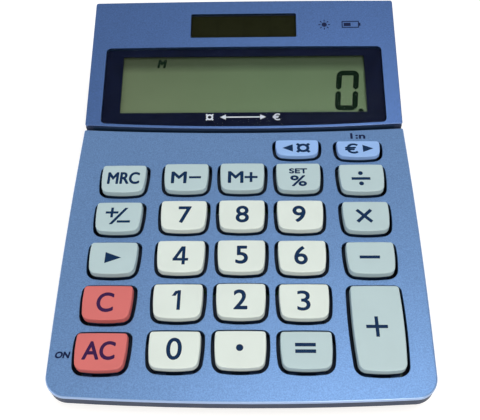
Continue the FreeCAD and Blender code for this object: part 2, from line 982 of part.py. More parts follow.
def make_upper_case():
    """Moulded shell under both plates: deck, walls, bosses, display recess and solar pocket."""
    outer = plan_prism(case_inset).common(
        profile_block(case_line(plate_thickness, plate_thickness) + parting_line()))
    hollow = plan_prism(case_inset + case_wall).common(
        profile_block(case_line(deck_under, ledge_under) + parting_far()))
    shell = outer.cut(hollow)
    beam = groove_beam(0.0).common(outer)
    pad = on_display(slab(solar_face(solar_pad_margin), -solar_under - solar_floor, -plate_thickness))
    shell = joined([shell, beam, pad.common(plan_prism(case_inset))] + upper_bosses() + locating_ribs())
    groove = bowed_band(keyboard_length, crease, groove_bow)
    view = rectangle(view_width + 2 * view_margin, view_length + 2 * view_margin, view_margin,
                     0, view_front + view_length / 2)
    holes = key_holes(case_hole_margin, -deck_under - case_hole_margin, cut_over)
    cutters = [on_keyboard(prism) for prism in holes]
    cutters.append(on_keyboard(slab(groove, -plate_thickness - groove_depth, front_height)))
    cutters.append(on_display(slab(bezel_face(fit_clearance), -ledge_top, cut_over)))
    cutters.append(on_display(slab(view, -ledge_under - cut_over, cut_over)))
    cutters.append(on_display(slab(solar_face(fit_clearance), -solar_under, cut_over)))
    middle = solar_front + solar_length / 2
    low = -solar_under - 2 * solar_floor
    for side in (-1, 1):
        cutters.append(on_display(post(side * solar_wire_across, middle, low, 0, solar_wire_hole_radius)))
    pilot = case_screw_radius + screw_clearance
    for x, y, z in case_screw_places():
        cutters.append(post(x, y, z - cut_over, z + case_screw_bite, pilot))
    pilot = board_screw_radius + screw_clearance
    for u, v in board_screw_places():
        hole = post(u, v, -board_top - cut_over, -board_top + board_screw_bite, pilot)
        cutters.append(on_keyboard(hole))
    depth = holder_screw_bite()
    for u, d in holder_screw_places():
        cutters.append(on_display(post(u, d, -holder_top - cut_over, -holder_top + depth, pilot)))
    return single(without(shell, cutters))


def holder_screw_bite():
    """Depth of the holder screws' blind holes, which stop short of the display recess."""
    return holder_top - ledge_top - holder_screw_web


# Lower case


def tapered_shell(inset, top_depth, bottom_z):
    """The tray's form: from the outline at the parting plane to a smaller outline at a lower level."""
    below = [keyboard_point(-overrun, top_depth), keyboard_point(rear_end, top_depth)] + parting_far()
    top_block = plan_prism(inset).common(profile_block(below))
    frame = keyboard_frame()
    rim = [face for face in top_block.Faces if flat_at(face, frame, -top_depth)]
    drawn = inset + lower_taper
    lower = at_height(plan_face(drawn, drawn + lower_edge_radius), bottom_z)
    return Part.makeLoft([rim[0].OuterWire, lower.OuterWire], True, True)


def flat_at(face, frame, z):
    back = frame.inverse()
    return all(abs(back.multVec(v.Point).z - z) < same_level for v in face.Vertexes)


def cell_place():
    """X and Y of the button cell's axis."""
    return -cell_left, rear_y - cell_back


def cell_seat():
    return base_z + door_thickness


def cup_top():
    return cell_seat() + cell_height + cup_headroom + cup_roof


def foot_places():
    front = front_y + front_foot_back
    rear = rear_y - rear_foot_back
    places = ((half_width - foot_inset, front), (half_width - rear_foot_inset, rear))
    return [(side * x, y) for side in (-1, 1) for x, y in places]


def support_places():
    """Posts under the board: a front row and two in its middle."""
    front = board_front + support_setback
    middle = gap_between_rows(3, 0)
    outer = board_half_width - support_inset
    inner = middle_support_across
    return [(-outer, front), (0.0, front), (outer, front), (-inner, middle), (inner, middle)]


def below_board():
    """The space under the board's lower face."""
    line = [keyboard_point(-overrun, board_under), keyboard_point(far, board_under)]
    return profile_block(line + parting_far())


def make_lower_case():
    """Moulded tray: tapered walls, screw bosses, foot seats, battery cup and door recess."""
    inset = case_inset + lower_step
    outer = tapered_shell(inset, parting_depth, base_z)
    outer = outer.makeFillet(lower_edge_radius, top_edges(outer, base_z))
    inner = tapered_shell(inset + case_wall, parting_depth, floor_z)
    tray = outer.cut(inner)
    lip_outer = case_inset + case_wall + lip_clearance
    lip = profile_block([keyboard_point(-overrun, parting_depth - lip_height),
                         keyboard_point(rear_end, parting_depth - lip_height)]
                        + [keyboard_point(rear_end, parting_depth + lip_thickness),
                           keyboard_point(-overrun, parting_depth + lip_thickness)])
    lip = plan_prism(lip_outer).common(lip).cut(plan_prism(lip_outer + lip_thickness))
    lip = lip.cut(groove_beam(lip_clearance))
    pieces = [tray, lip]
    for x, y, z in case_screw_places():
        pieces.append(post(x, y, base_z + lower_edge_radius / 2, z, lower_boss_radius))
    under = below_board()
    for u, v in support_places():
        spot = keyboard_point(v, board_under)
        pieces.append(post(u, spot.y, floor_z - floor_thickness / 2, far / 4, support_radius).common(under))
    pieces += battery_walls()
    cutters = []
    head = case_screw_head_radius + well_clearance
    for x, y, z in case_screw_places():
        cutters.append(post(x, y, -cut_over, z - case_screw_web, head))
        cutters.append(post(x, y, -cut_over, z + cut_over, case_screw_radius + through_clearance))
    for x, y in foot_places():
        cutters.append(post(x, y, -cut_over, base_z + foot_seat, foot_radius + fit_clearance))
    cutters += battery_cuts()
    label = rectangle(label_width, label_length, label_corner_radius)
    cutters.append(slab(label, -cut_over, base_z + label_depth))
    return single(without(joined(pieces), cutters))


def battery_walls():
    """The cup round the button cell, the pan behind the door and the boss for its screw."""
    x, y = cell_place()
    seat = cell_seat()
    pan_width = door_width + 2 * door_clearance + 2 * pan_rim
    pan_length = door_length + 2 * door_clearance + 2 * pan_rim
    pan = slab(rectangle(pan_width, pan_length, door_corner_radius, x, y), base_z, seat + pan_thickness)
    cup = post(x, y, seat, cup_top(), cell_radius + cell_clearance + cup_wall)
    boss_top = seat + case_screw_bite + door_boss_floor
    boss = post(x + door_screw_offset, y, seat, boss_top, case_boss_radius)
    return [pan, cup, boss]


def battery_cuts():
    x, y = cell_place()
    seat = cell_seat()
    across = door_width + 2 * door_clearance
    along = door_length + 2 * door_clearance
    door = rectangle(across, along, door_corner_radius, x, y)
    roof_under = cup_top() - cup_roof
    pilot = case_screw_radius + screw_clearance
    slot_x = x - door_width / 2 - door_clearance
    half = contact_width / 2 + contact_clearance
    room = cell_radius + cell_clearance
    return [
        slab(door, -cut_over, seat),
        post(x, y, seat - cut_over, roof_under, room),
        post(x + door_screw_offset, y, seat - cut_over, seat + case_screw_bite, pilot),
        box(slot_x - tongue_reach - tongue_room, slot_x + cut_over,
            y - tongue_width / 2 - door_clearance, y + tongue_width / 2 + door_clearance,
            seat - tongue_thickness - door_clearance, seat),
        box(x - room - side_slot_reach, x - room + side_slot_depth, y - half, y + half,
            seat, cup_top() + cut_over),
        box(x + room - cut_over, x + room + cup_wall + cut_over, y - half, y + half,
            roof_under - top_slot_height, roof_under),
    ]


# Display


def make_display_window():
    """Clear panel, flush with the plate, with a narrow chamfer round its face."""
    panel = slab(bezel_face(), -solar_top, -window_setback)
    return on_display(panel.makeChamfer(window_edge, top_edges(panel, -window_setback)))


def view_face():
    return rectangle(view_width, view_length, view_corner_radius, 0, view_front + view_length / 2)


def make_display_bezel():
    """Dark printed sheet behind the clear panel, with the opening that shows the digits."""
    sheet = slab(bezel_face(), -ledge_top, -ledge_top + bezel_thickness)
    return on_display(sheet.cut(slab(view_face(), -ledge_top - cut_over, 0)))


def glass_box(near, back, z0, z1, margin=0.0):
    x = glass_width / 2 - margin
    return on_display(box(-x, x, near, back, z0, z1))


def make_glass_cell():
    """Front polariser, front glass with its contact ledge, rear glass and reflector."""
    back = glass_front + glass_length
    rear_near = glass_front + contact_ledge
    margin = polariser_margin
    near = rear_near - margin
    return {
        "lcd_front_polariser": glass_box(near, back - margin, -glass_top, -ledge_under, margin),
        "lcd_front_glass": glass_box(glass_front, back, -glass_middle, -glass_top),
        "lcd_rear_glass": glass_box(rear_near, back, -glass_under, -glass_middle),
        "lcd_reflector": glass_box(rear_near + margin / 2, back - margin / 2, -holder_top, -glass_under,
                                   margin / 2),
    }


def make_holder():
    """Frame that clamps the glass cell against the ledge, with an open middle."""
    middle = holder_front + holder_length / 2
    plate_face = rectangle(holder_width, holder_length, holder_corner_radius, 0, middle)
    plate = slab(plate_face, -holder_under, -holder_top)
    opening = rectangle(holder_width - 4 * holder_frame, holder_length - 2 * holder_frame,
                        holder_corner_radius, 0, middle)
    low = -holder_under - cut_over
    cutters = [slab(opening, low, 0)]
    for u, d in holder_screw_places():
        cutters.append(post(u, d, low, 0, board_screw_radius + through_clearance))
    return on_display(single(without(plate, cutters)))


def make_holder_screws():
    length = holder_thickness + holder_screw_bite() - screw_tip_gap
    one = screw(board_screw_radius, length, board_screw_head_radius, board_screw_head_height)
    screws = []
    for u, d in holder_screw_places():
        copy = one.copy()
        copy.translate(Vector(u, d, -holder_under))
        screws.append(on_display(copy))
    return Part.makeCompound(screws)


def make_film_connector():
    """Thin flexible film, bonded to the glass ledge and to the board, with a bend at each."""
    half = film_thickness / 2
    ledge = glass_middle + half
    turn = glass_front + contact_ledge - film_turn
    board_end = board_rear - film_board_margin
    points = [
        display_point(glass_front + film_glass_margin, ledge),
        display_point(turn, ledge),
        keyboard_point(board_end - film_land, board_top - half),
        keyboard_point(board_end, board_top - half),
    ]
    film = strip_along(points, Vector(1, 0, 0), film_width, film_thickness, film_bend)
    film.translate(Vector(film_offset, 0, 0))
    return film


def make_solar_parts():
    window = slab(solar_face(), -solar_top, -window_setback)
    window = window.makeChamfer(window_edge, top_edges(window, -window_setback))
    cell = slab(solar_face(), -solar_under, -solar_top)
    return {"solar_window": on_display(window), "solar_cell": on_display(cell)}


# Key mat and board


def make_key_mat():
    """One rubber sheet with a hollow dome and a contact pill under each key."""
    middle = (mat_front + mat_rear) / 2
    face = rectangle(2 * mat_half_width, mat_rear - mat_front, mat_corner_radius, 0, middle)
    sheet = slab(face, -board_top, -mat_top)
    domes = []
    hollows = []
    pills = []
    for u, v in dome_places():
        spot = Vector(u, v, -mat_top)
        domes.append(Part.makeCone(dome_base_radius, dome_top_radius, dome_height, spot))
        low = Vector(u, v, -board_top)
        hollow_height = board_top - dome_top - dome_wall
        hollows.append(Part.makeCone(dome_base_radius - dome_wall, dome_top_radius - dome_wall / 2,
                                     hollow_height, low))
        pills.append(post(u, v, -board_top + pill_gap, -dome_top - dome_wall / 2, pill_radius))
    holes = []
    for u, v in board_screw_places():
        holes.append(post(u, v, -board_top - cut_over, 0, board_boss_radius + boss_clearance))
    back = keyboard_frame().inverse()
    for x, y, z in case_screw_places():
        spot = back.multVec(Vector(x, y, z))
        holes.append(post(x, spot.y, -board_top - cut_over, 0, case_boss_radius + boss_clearance))
    mat = joined([sheet] + domes).cut(joined(hollows + holes))
    return on_keyboard(single(joined([mat] + pills)))


def make_main_board():
    middle = (board_front + board_rear) / 2
    face = rectangle(2 * board_half_width, board_rear - board_front, board_corner_radius, 0, middle)
    board = slab(face, -board_under, -board_top)
    holes = []
    for u, v in board_screw_places():
        holes.append(post(u, v, -board_under - cut_over, 0, board_screw_radius + through_clearance))
    back = keyboard_frame().inverse()
    for x, y, z in case_screw_places():
        spot = back.multVec(Vector(x, y, z))
        if spot.y < board_rear + case_boss_radius:
            holes.append(post(x, spot.y, -board_under - cut_over, 0, case_boss_radius + boss_clearance))
    return on_keyboard(single(without(board, holes)))


def make_board_screws():
    length = board_thickness + board_screw_bite - screw_tip_gap
    one = screw(board_screw_radius, length, board_screw_head_radius, board_screw_head_height)
    screws = []
    for u, v in board_screw_places():
        copy = one.copy()
        copy.translate(Vector(u, v, -board_under))
        screws.append(on_keyboard(copy))
    return Part.makeCompound(screws)


def make_chip():
    """Black resin dome over the bonded chip, under the board's rear part."""
    low = -board_under - chip_height
    dome = post(chip_across, keyboard_length - chip_back, low, -board_under, chip_radius)
    return on_keyboard(dome.makeFillet(chip_rounding, top_edges(dome, low)))


def make_capacitor():
    """Small can lying under the board, with two bent leads."""
    v = keyboard_length + capacitor_behind
    depth = -board_under - capacitor_radius - capacitor_gap
    start = Vector(capacitor_across, v, depth)
    can = Part.makeCylinder(capacitor_radius, capacitor_length, start, Vector(1, 0, 0))
    can = can.makeFillet(capacitor_rim, can.Edges[:1])
    pad = capacitor_across - lead_reach
    leads = []
    for side in (-1, 1):
        along = v + side * lead_offset
        points = [Vector(capacitor_across + lead_root, along, depth), Vector(pad, along, depth),
                  Vector(pad, along, -board_under)]
        leads.append(wire_along(points, lead_radius, lead_bend))
    return on_keyboard(single(joined([can] + leads)))


def make_chip_resistors():
    """Small chip parts soldered under the board."""
    v = keyboard_length - resistor_back
    long = resistor_length / 2
    wide = resistor_width / 2
    chips = []
    for i in range(resistor_count):
        u = -resistor_left + resistor_pitch * i
        low = -board_under - resistor_height
        chips.append(on_keyboard(box(u - long, u + long, v - wide, v + wide, low, -board_under)))
    return Part.makeCompound(chips)


# Battery


def make_button_cell():
    """Button cell: a can with a smaller cap, standing on the door."""
    x, y = cell_place()
    seat = cell_seat()
    shoulder = seat + cell_height - cell_step
    can = post(x, y, seat, shoulder, cell_radius)
    can = can.makeFillet(cell_rim, top_edges(can, seat) + top_edges(can, shoulder))
    cap = post(x, y, shoulder - cell_cap_root, seat + cell_height, cell_radius - cell_cap_inset)
    cap = cap.makeFillet(cell_cap_rim, top_edges(cap, seat + cell_height))
    return single(can.fuse(cap))


def contact_paths():
    """Side contact that rises out of the cup, and top contact that leaves through its wall."""
    x, y = cell_place()
    seat = cell_seat()
    side_x = x - cell_radius - fit_clearance - contact_thickness / 2
    side_z = cup_top() + contact_rise
    side = [Vector(side_x, y, seat + contact_foot), Vector(side_x, y, side_z),
            Vector(side_x - contact_tail, y, side_z)]
    land_z = seat + cell_height + fit_clearance + contact_thickness / 2
    top_z = cup_top() - cup_roof - contact_thickness / 2
    edge = x + cell_radius + cell_clearance + cup_wall
    top = [Vector(x - land_start, y, land_z), Vector(x + land_end, y, land_z),
           Vector(x + ramp_end, y, top_z), Vector(edge + contact_tail, y, top_z)]
    return side, top


def contact(path, width):
    return strip_along(path, Vector(0, 1, 0), width, contact_thickness, contact_bend)


def make_contacts():
    side, top = contact_paths()
    return {
        "battery_contact_positive": contact(side, contact_width),
        "battery_contact_negative": contact(top, top_contact_width),
    }


def keyboard_at(u, v, depth):
    return keyboard_frame().multVec(Vector(u, v, -depth))


def under_board_route(u, start):
    """Last stretch of a wire: down behind the board's rear edge, under it and straight up to its pad."""
    v = board_rear - wire_pad_back
    low = board_under + wire_drop
    turn = keyboard_at(u, v + wire_turn, low)
    return start + [turn, keyboard_at(u, v, low), keyboard_at(u, v, board_under)]


def make_wires():
    """Battery and solar leads, each one insulated wire inside the case."""
    side, top = contact_paths()
    rise = wire_radius + contact_thickness / 2
    positive = side[-1] + Vector(wire_seat, -wire_seat, rise)
    negative = top[-1] + Vector(-wire_seat, -wire_seat, -rise)
    route_red = [positive, positive + Vector(0, -wire_start, red_wire_rise)]
    route_black = [negative, negative + Vector(0, -wire_start, -black_wire_fall)]
    nodes = {
        "battery_wire_red": wire_along(under_board_route(positive.x, route_red), wire_radius),
        "battery_wire_black": wire_along(under_board_route(negative.x, route_black), wire_radius),
    }
    middle = solar_front + solar_length / 2
    for side_of, name in ((-1, "solar_wire_red"), (1, "solar_wire_black")):
        u = side_of * solar_wire_across
        lane = side_of * (board_half_width - solar_wire_lane)
        exit_point = display_frame().multVec(Vector(u, middle, -solar_under))
        below = display_frame().multVec(Vector(u, middle, -solar_under - solar_wire_exit))
        turn = Vector(lane, below.y - solar_wire_back, below.z - solar_wire_fall)
        route = under_board_route(lane, [exit_point, below, turn])
        nodes[name] = wire_along(route, wire_radius)
    return nodes


def make_battery_door():
    """Flat door with a tongue at one end, a screw well at the other and grip grooves."""
    x, y = cell_place()
    seat = cell_seat()
    outline_face = rectangle(door_width, door_length, door_corner_radius - door_clearance, x, y)
    plate = slab(outline_face, base_z, seat)
    end = x - door_width / 2
    tongue = box(end - tongue_reach, end + tongue_root, y - tongue_width / 2, y + tongue_width / 2,
                 seat - tongue_thickness, seat)
    hole_x = x + door_screw_offset
    cutters = [
        post(hole_x, y, base_z - cut_over, seat - door_screw_web,
             case_screw_head_radius + well_clearance / 2),
        post(hole_x, y, base_z - cut_over, seat + cut_over, case_screw_radius + through_clearance),
    ]
    half = grip_groove_length / 2
    top = base_z + grip_groove_depth
    for i in range(grip_grooves):
        left = x - door_width / 2 + grip_groove_margin + i * grip_groove_pitch
        cutters.append(box(left, left + grip_groove_width, y - half, y + half, base_z - cut_over, top))
    return single(without(plate.fuse(tongue), cutters))


def make_door_screw():
    x, y = cell_place()
    length = door_screw_web + case_screw_bite - door_screw_gap
    one = screw(case_screw_radius, length, case_screw_head_radius, door_screw_head_height)
    one.translate(Vector(x + door_screw_offset, y, cell_seat() - door_screw_web))
    return one


def make_case_screws():
    length = case_screw_web + case_screw_bite - screw_tip_gap
    one = screw(case_screw_radius, length, case_screw_head_radius, case_screw_head_height)
    screws = []
    for x, y, z in case_screw_places():
        copy = one.copy()
        copy.translate(Vector(x, y, z - case_screw_web))
        screws.append(copy)
    return Part.makeCompound(screws)


def make_feet():
    """Four rubber discs, each glued into its seat."""
    feet = []
    for x, y in foot_places():
        foot = post(x, y, 0, base_z + foot_seat, foot_radius)
        feet.append(foot.makeFillet(foot_rim, top_edges(foot, 0)))
    return Part.makeCompound(feet)


KEYS = key_list()


def make_all():
    nodes = {
        "upper_case": make_upper_case(),
        "lower_case": make_lower_case(),
        "keyboard_faceplate": make_keyboard_faceplate(),
        "display_faceplate": make_display_faceplate(),
        "display_window": make_display_window(),
        "display_bezel": make_display_bezel(),
        "lcd_holder": make_holder(),
        "lcd_holder_screws": make_holder_screws(),
        "film_connector": make_film_connector(),
        "rubber_key_mat": make_key_mat(),
        "main_board": make_main_board(),
        "board_screws": make_board_screws(),
        "chip_resin": make_chip(),
        "capacitor": make_capacitor(),
        "chip_resistors": make_chip_resistors(),
        "button_cell": make_button_cell(),
        "battery_door": make_battery_door(),
        "battery_door_screw": make_door_screw(),
        "case_screws": make_case_screws(),
        "rubber_feet": make_feet(),
    }
    nodes.update(make_glass_cell())
    nodes.update(make_solar_parts())
    nodes.update(make_contacts())
    nodes.update(make_wires())
    nodes.update(make_keys())
    return nodes


os.makedirs("parts", exist_ok=True)
for name, shape in make_all().items():
    shape.exportStep("parts/" + name + ".step")
    print(name, "solids", len(shape.Solids), "volume", round(shape.Volume, 1), "valid", shape.isValid())
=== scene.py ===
"""Finishes, key legends, display marks and studio of a jointed desktop calculator."""

import json
import math

import bmesh
import bpy
from bpy.props import FloatProperty, FloatVectorProperty, PointerProperty
from bpy.types import Operator, Panel, PropertyGroup
from mathutils import Matrix, Vector


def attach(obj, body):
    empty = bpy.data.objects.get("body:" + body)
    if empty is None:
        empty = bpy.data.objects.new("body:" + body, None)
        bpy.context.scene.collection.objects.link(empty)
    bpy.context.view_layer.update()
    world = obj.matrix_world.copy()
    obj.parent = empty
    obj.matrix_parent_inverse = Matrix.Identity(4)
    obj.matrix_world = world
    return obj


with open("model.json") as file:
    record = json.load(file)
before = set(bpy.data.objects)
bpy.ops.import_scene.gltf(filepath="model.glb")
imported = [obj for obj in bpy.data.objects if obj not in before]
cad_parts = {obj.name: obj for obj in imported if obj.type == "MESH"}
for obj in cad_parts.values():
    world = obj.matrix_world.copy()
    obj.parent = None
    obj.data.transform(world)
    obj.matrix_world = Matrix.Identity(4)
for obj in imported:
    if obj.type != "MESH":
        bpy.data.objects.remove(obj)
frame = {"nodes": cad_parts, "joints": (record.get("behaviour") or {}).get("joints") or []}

bl_info = {
    "name": "Desktop Calculator Finish",
    "version": (1, 0, 0),
    "blender": (4, 5, 0),
    "location": "3D View > Sidebar > Calculator",
    "description": "Dresses the pieces of a desktop calculator and lights them in a small studio",
    "category": "Object",
}

MM = 0.001

# Height of one layer of ink above the next, so that no two lie in one plane.
LAYER = 0.0015 * MM

# Direction that the keyboard's face looks, and how far along it that face lies.
KEYBOARD_OUT = -Vector(frame["joints"][0]["axis"]).normalized()
PLATE_LEVEL = max(
    vertex.co.dot(KEYBOARD_OUT) for vertex in frame["nodes"]["keyboard_faceplate"].data.vertices
)
ROOT_BODY = "calculator"

bpy.context.view_layer.update()

CREAM_KEYS = [f"key_{digit}" for digit in range(10)] + ["key_decimal"]
CORAL_KEYS = ["key_all_clear", "key_clear"]
SKY_KEYS = ["key_convert_local", "key_convert_rate"]
ALL_KEYS = sorted(name for name in frame["nodes"] if name.startswith("key_"))
GREY_KEYS = [name for name in ALL_KEYS if name not in CREAM_KEYS + CORAL_KEYS + SKY_KEYS]

# Legends of the keys, in millimetres from the middle of the key's top: a form, its words or stroke,
# its width and height, its place across and up the key, and for words also how thick their ink is.
LEGENDS = {
    "key_all_clear": [("words", "AC", 8.6, 5.2, -0.3, 0.21, 1.2)],
    "key_0": [("words", "0", 4.1, 6.1, 0.0, 0.21, 0.7)],
    "key_decimal": [("disc", 0, 1.9, 1.9, -0.15, 0.41)],
    "key_equals": [("bar", 0, 5.4, 0.98, -0.3, 1.41), ("bar", 0, 5.4, 0.98, -0.3, -0.39)],
    "key_plus": [("cross", 0.94, 5.7, 5.8, -0.5, 0.06)],
    "key_clear": [("words", "C", 4.7, 5.9, -0.4, 0.1)],
    "key_1": [("bar", 0, 0.92, 5.9, 0.35, 0.24), ("slash", 0.8, 2.0, 1.5, -0.65, 2.24)],
    "key_2": [("words", "2", 3.8, 6.0, -0.1, 0.29)],
    "key_3": [("words", "3", 3.6, 6.0, -0.2, 0.09, 0.5)],
    "key_backspace": [("arrow", 0, 4.6, 3.6, 0.1, 0.05)],
    "key_4": [
        ("bar", 0, 0.92, 5.9, 0.85, 0.23),
        ("bar", 0, 4.4, 0.86, 0.0, -1.05),
        ("slash", 0.86, 3.4, 4.15, -0.5, 1.1),
    ],
    "key_5": [("words", "5", 3.6, 5.9, 0.1, 0.28)],
    "key_6": [("words", "6", 3.8, 6.0, -0.4, 0.23)],
    "key_minus": [("bar", 0, 5.7, 0.95, -0.35, 0.13)],
    "key_sign": [
        ("cross", 0.78, 3.8, 3.5, -2.0, 1.46),
        ("slash", 0.78, 5.3, 5.8, 0.1, 0.21),
        ("bar", 0, 3.9, 0.78, 1.7, -1.74),
    ],
    "key_7": [("words", "7", 3.9, 5.9, 0.4, 0.11)],
    "key_8": [("words", "8", 3.9, 5.9, 0.15, 0.11)],
    "key_9": [("words", "9", 3.9, 5.8, -0.35, 0.26, 1.2)],
    "key_times": [("times", 1.0, 4.9, 4.9, -0.6, 0.06)],
    "key_memory_recall": [("words", "MRC", 9.9, 4.6, 0.05, 0.2, 1.2)],
    "key_memory_minus": [("words", "M", 4.8, 4.5, -2.2, -0.15, 1.15), ("bar", 0, 3.7, 0.8, 2.75, -0.15)],
    "key_memory_plus": [("words", "M", 4.8, 4.5, -2.0, -0.25, 1.15), ("cross", 0.84, 4.0, 3.8, 2.7, -0.3)],
    "key_percent": [("words", "%", 5.0, 4.1, -0.05, -1.6), ("words", "SET", 5.6, 2.0, -0.05, 2.15)],
    "key_divide": [
        ("bar", 0, 5.7, 0.98, -0.35, -0.35),
        ("disc", 0, 1.45, 1.45, -0.35, 1.7),
        ("disc", 0, 1.45, 1.45, -0.35, -2.2),
    ],
    "key_convert_local": [
        ("back_arrow", 0, 3.3, 2.9, -3.0, -0.05),
        ("words", "¤", 4.5, 3.9, 1.9, -0.05, 0.8),
    ],
    "key_convert_rate": [("words", "€", 4.2, 4.1, -2.2, 0.1), ("arrow", 0, 3.3, 2.9, 3.0, 0.1)],
}

# Words on the keyboard plate: the piece's name, the words, the key beside them, their width and height,
# their place from the middle of that key's top, all in millimetres, and how far they lean.
PLATE_WORDS = (
    ("print_on", "ON", "key_all_clear", 3.9, 1.9, -10.2, -0.3, 0.15),
    ("print_rate", "1:n", "key_convert_rate", 4.8, 2.4, 0.5, 6.5, 0.0),
)

# Marks in front of the display, as in LEGENDS, from the middle of the display window.
EXCHANGE_MARKS = (
    ("words", "¤", 2.7, 2.5, -11.0, -11.8, 0.5),
    ("back_arrow", 0, 1.9, 1.9, -6.6, -11.8),
    ("bar", 0, 12.0, 0.42, 0.0, -11.8),
    ("arrow", 0, 1.9, 1.9, 6.6, -11.8),
    ("words", "€", 2.5, 2.5, 11.0, -11.8, 0.4),
)

# Place across and up the display plate of the two small pictures, from the middle of the solar window.
SUN_PLACE = (28.0, 0.0)
BATTERY_PLACE = (37.0, 0.0)

# Segments of the display, in millimetres from the middle of its front glass.
NOUGHT_PLACE = (34.96, -1.43)
MEMORY_SIGN_PLACE = (-28.0, 9.43)
MEMORY_SIGN = ("words", "M", 2.9, 3.4, 0.0, 0.0, 1.7)
DISPLAY_POINT = ("disc", 0, 1.8, 1.8, 39.2, -9.28)
NOUGHT_SLANT = 0.095
MEMORY_SIGN_SLANT = 0.16

# Words lower than this get less ink, in proportion to their height.
FULL_INK_HEIGHT = 2.4 * MM

# Painted shade that the display frame throws on the ground behind it: the share of light that is left, and
# where along the depth of the calculator it starts and is full.
DISPLAY_SHADES = ((0.86, 31 * MM, 43 * MM), (0.42, 43.3 * MM, 46.4 * MM))

# Corners, seen from above, of the box in which the plates cover the upper case, and inside which the case
# gets painted shade.
PAINTED_SHADE_BOX = ((-49.5 * MM, -66.0 * MM), (49.5 * MM, 64.0 * MM))

WHITE = (1.0, 1.0, 1.0)

# Soft lamps, aimed at the middle of the table: their place and diameter, in metres, and their tint.
LAMPS = {
    "key_lamp": ((0.11, -0.05, 0.64), 0.45, WHITE),
    "side_lamp": ((-0.5, -0.2, 0.28), 0.4, WHITE),
    "front_lamp": ((0.17, -0.5, 0.34), 0.25, (1.0, 0.88, 0.7)),
}

# Width of the camera's sensor in millimetres, half the width of the floor in metres, and the light
# that the floor adds where it shows as a background.
SENSOR_WIDTH = 36.0
FLOOR_REACH = 2.5
FLOOR_GLOW = 0.7

# Screen values of the inks on the plates and on the display frame.
PLATE_INK = (10, 24, 62)
PALE_INK = (206, 214, 228)

# Linear colours of painted shadows and of the pieces whose colour is not a setting.
KEY_SHADOW = (0.022, 0.055, 0.13)
CASE_SHADOW = (0.014, 0.034, 0.075)
WINDOW_TINT = (0.97, 0.98, 0.97)
GLASS_TINT = (0.9, 0.93, 0.9)
FOOT_RUBBER = (0.03, 0.03, 0.035)
MAT_RUBBER = (0.045, 0.065, 0.11)
SCREW_STEEL = (0.55, 0.55, 0.56)
CELL_STEEL = (0.66, 0.66, 0.67)
CONTACT_METAL = (0.72, 0.69, 0.62)
HOLDER_PLASTIC = (0.55, 0.55, 0.53)
RED_INSULATION = (0.5, 0.02, 0.02)
BLACK_INSULATION = (0.02, 0.02, 0.02)
RESIN = (0.018, 0.018, 0.02)
AMBER_FILM = (0.5, 0.26, 0.05)
FILM_CONDUCTOR = (0.08, 0.07, 0.06)


def paint(red, green, blue):
    """Linear colour of a paint given by its screen values from 0 to 255."""
    shares = [value / 255 for value in (red, green, blue)]
    return tuple(s / 12.92 if s <= 0.04045 else ((s + 0.055) / 1.055) ** 2.4 for s in shares)


def colour_setting(label, about, value):
    return FloatVectorProperty(
        name=label, description=about, default=value, size=3, min=0.0, max=1.0, subtype="COLOR"
    )


def length_setting(label, about, value):
    return FloatProperty(
        name=label, description=about, default=value, precision=5, unit="LENGTH", subtype="DISTANCE"
    )


def angle_setting(label, about, degrees):
    return FloatProperty(name=label, description=about, default=math.radians(degrees), subtype="ANGLE")


def power_setting(label, about, watts):
    return FloatProperty(name=label, description=about, default=watts, unit="POWER")


class CalculatorColours(PropertyGroup):
    """Colours of the calculator's visible pieces."""

    plate: colour_setting("Plate", "Blue metal of the keyboard plate", paint(94, 126, 169))
    lid: colour_setting("Display plate", "Blue metal round the display", paint(62, 89, 136))
    case: colour_setting("Case", "Plastic of the upper case", paint(54, 65, 90))
    base: colour_setting("Base", "Plastic of the lower case and the battery door", paint(44, 50, 64))
    cream: colour_setting("Cream keys", "Plastic of the digit keys", paint(220, 232, 228))
    grey: colour_setting("Grey green keys", "Plastic of the function keys", paint(183, 206, 212))
    coral: colour_setting("Coral keys", "Plastic of the two clearing keys", paint(211, 112, 110))
    sky: colour_setting("Sky keys", "Plastic of the two small conversion keys", paint(149, 187, 243))
    ink: colour_setting("Ink", "Print of the key legends", paint(6, 40, 77))
    coral_ink: colour_setting("Ink on coral", "Print of the two clearing keys", paint(55, 25, 71))
    frame: colour_setting("Display frame", "Print behind the display window", paint(17, 23, 47))
    display: colour_setting("Display", "Reflecting ground of the display", paint(108, 130, 100))
    segment: colour_setting("Segments", "Dark segments of the display", paint(10, 28, 18))
    solar: colour_setting("Solar cell", "Silicon of the solar cell", paint(30, 32, 16))


class CalculatorPrint(PropertyGroup):
    """Sizes of the printed marks."""

    lift: length_setting("Lift", "How far the ink stands above its face", 0.015 * MM)
    root: length_setting("Root", "How far the ink reaches below its face", 0.02 * MM)
    weight: length_setting("Weight", "How much the ink of the letters spreads on each side", 0.145 * MM)


class CalculatorStudio(PropertyGroup):
    """Camera, lamps and floor of the studio."""

    eye: FloatVectorProperty(
        name="Eye", description="Place of the camera", default=(4.282 * MM, -133.138 * MM, 170.047 * MM),
        size=3, precision=5, unit="LENGTH", subtype="TRANSLATION",
    )
    lens: FloatProperty(
        name="Lens", description="Focal length on a 36 mm sensor", default=49.73, unit="CAMERA"
    )
    pitch: angle_setting("Pitch", "How far the camera looks below the horizon", 52.037)
    yaw: angle_setting("Yaw", "Turn of the camera to its left", 1.407)
    roll: angle_setting("Roll", "Turn of the camera about its line of sight", -0.17)
    key_lamp: power_setting("Key lamp", "Power of the soft lamp high above the keyboard", 1.6)
    side_lamp: power_setting("Side lamp", "Power of the soft lamp at the left", 0.6)
    front_lamp: power_setting("Front lamp", "Power of the warm lamp before the user's edge", 1.3)
    sky_level: FloatProperty(name="Sky", description="Level of the even light from all sides", default=0.35)
    floor_shade: FloatProperty(name="Floor", description="Reflectance of the floor", default=0.5)


def colours():
    return bpy.context.scene.calculator_colours


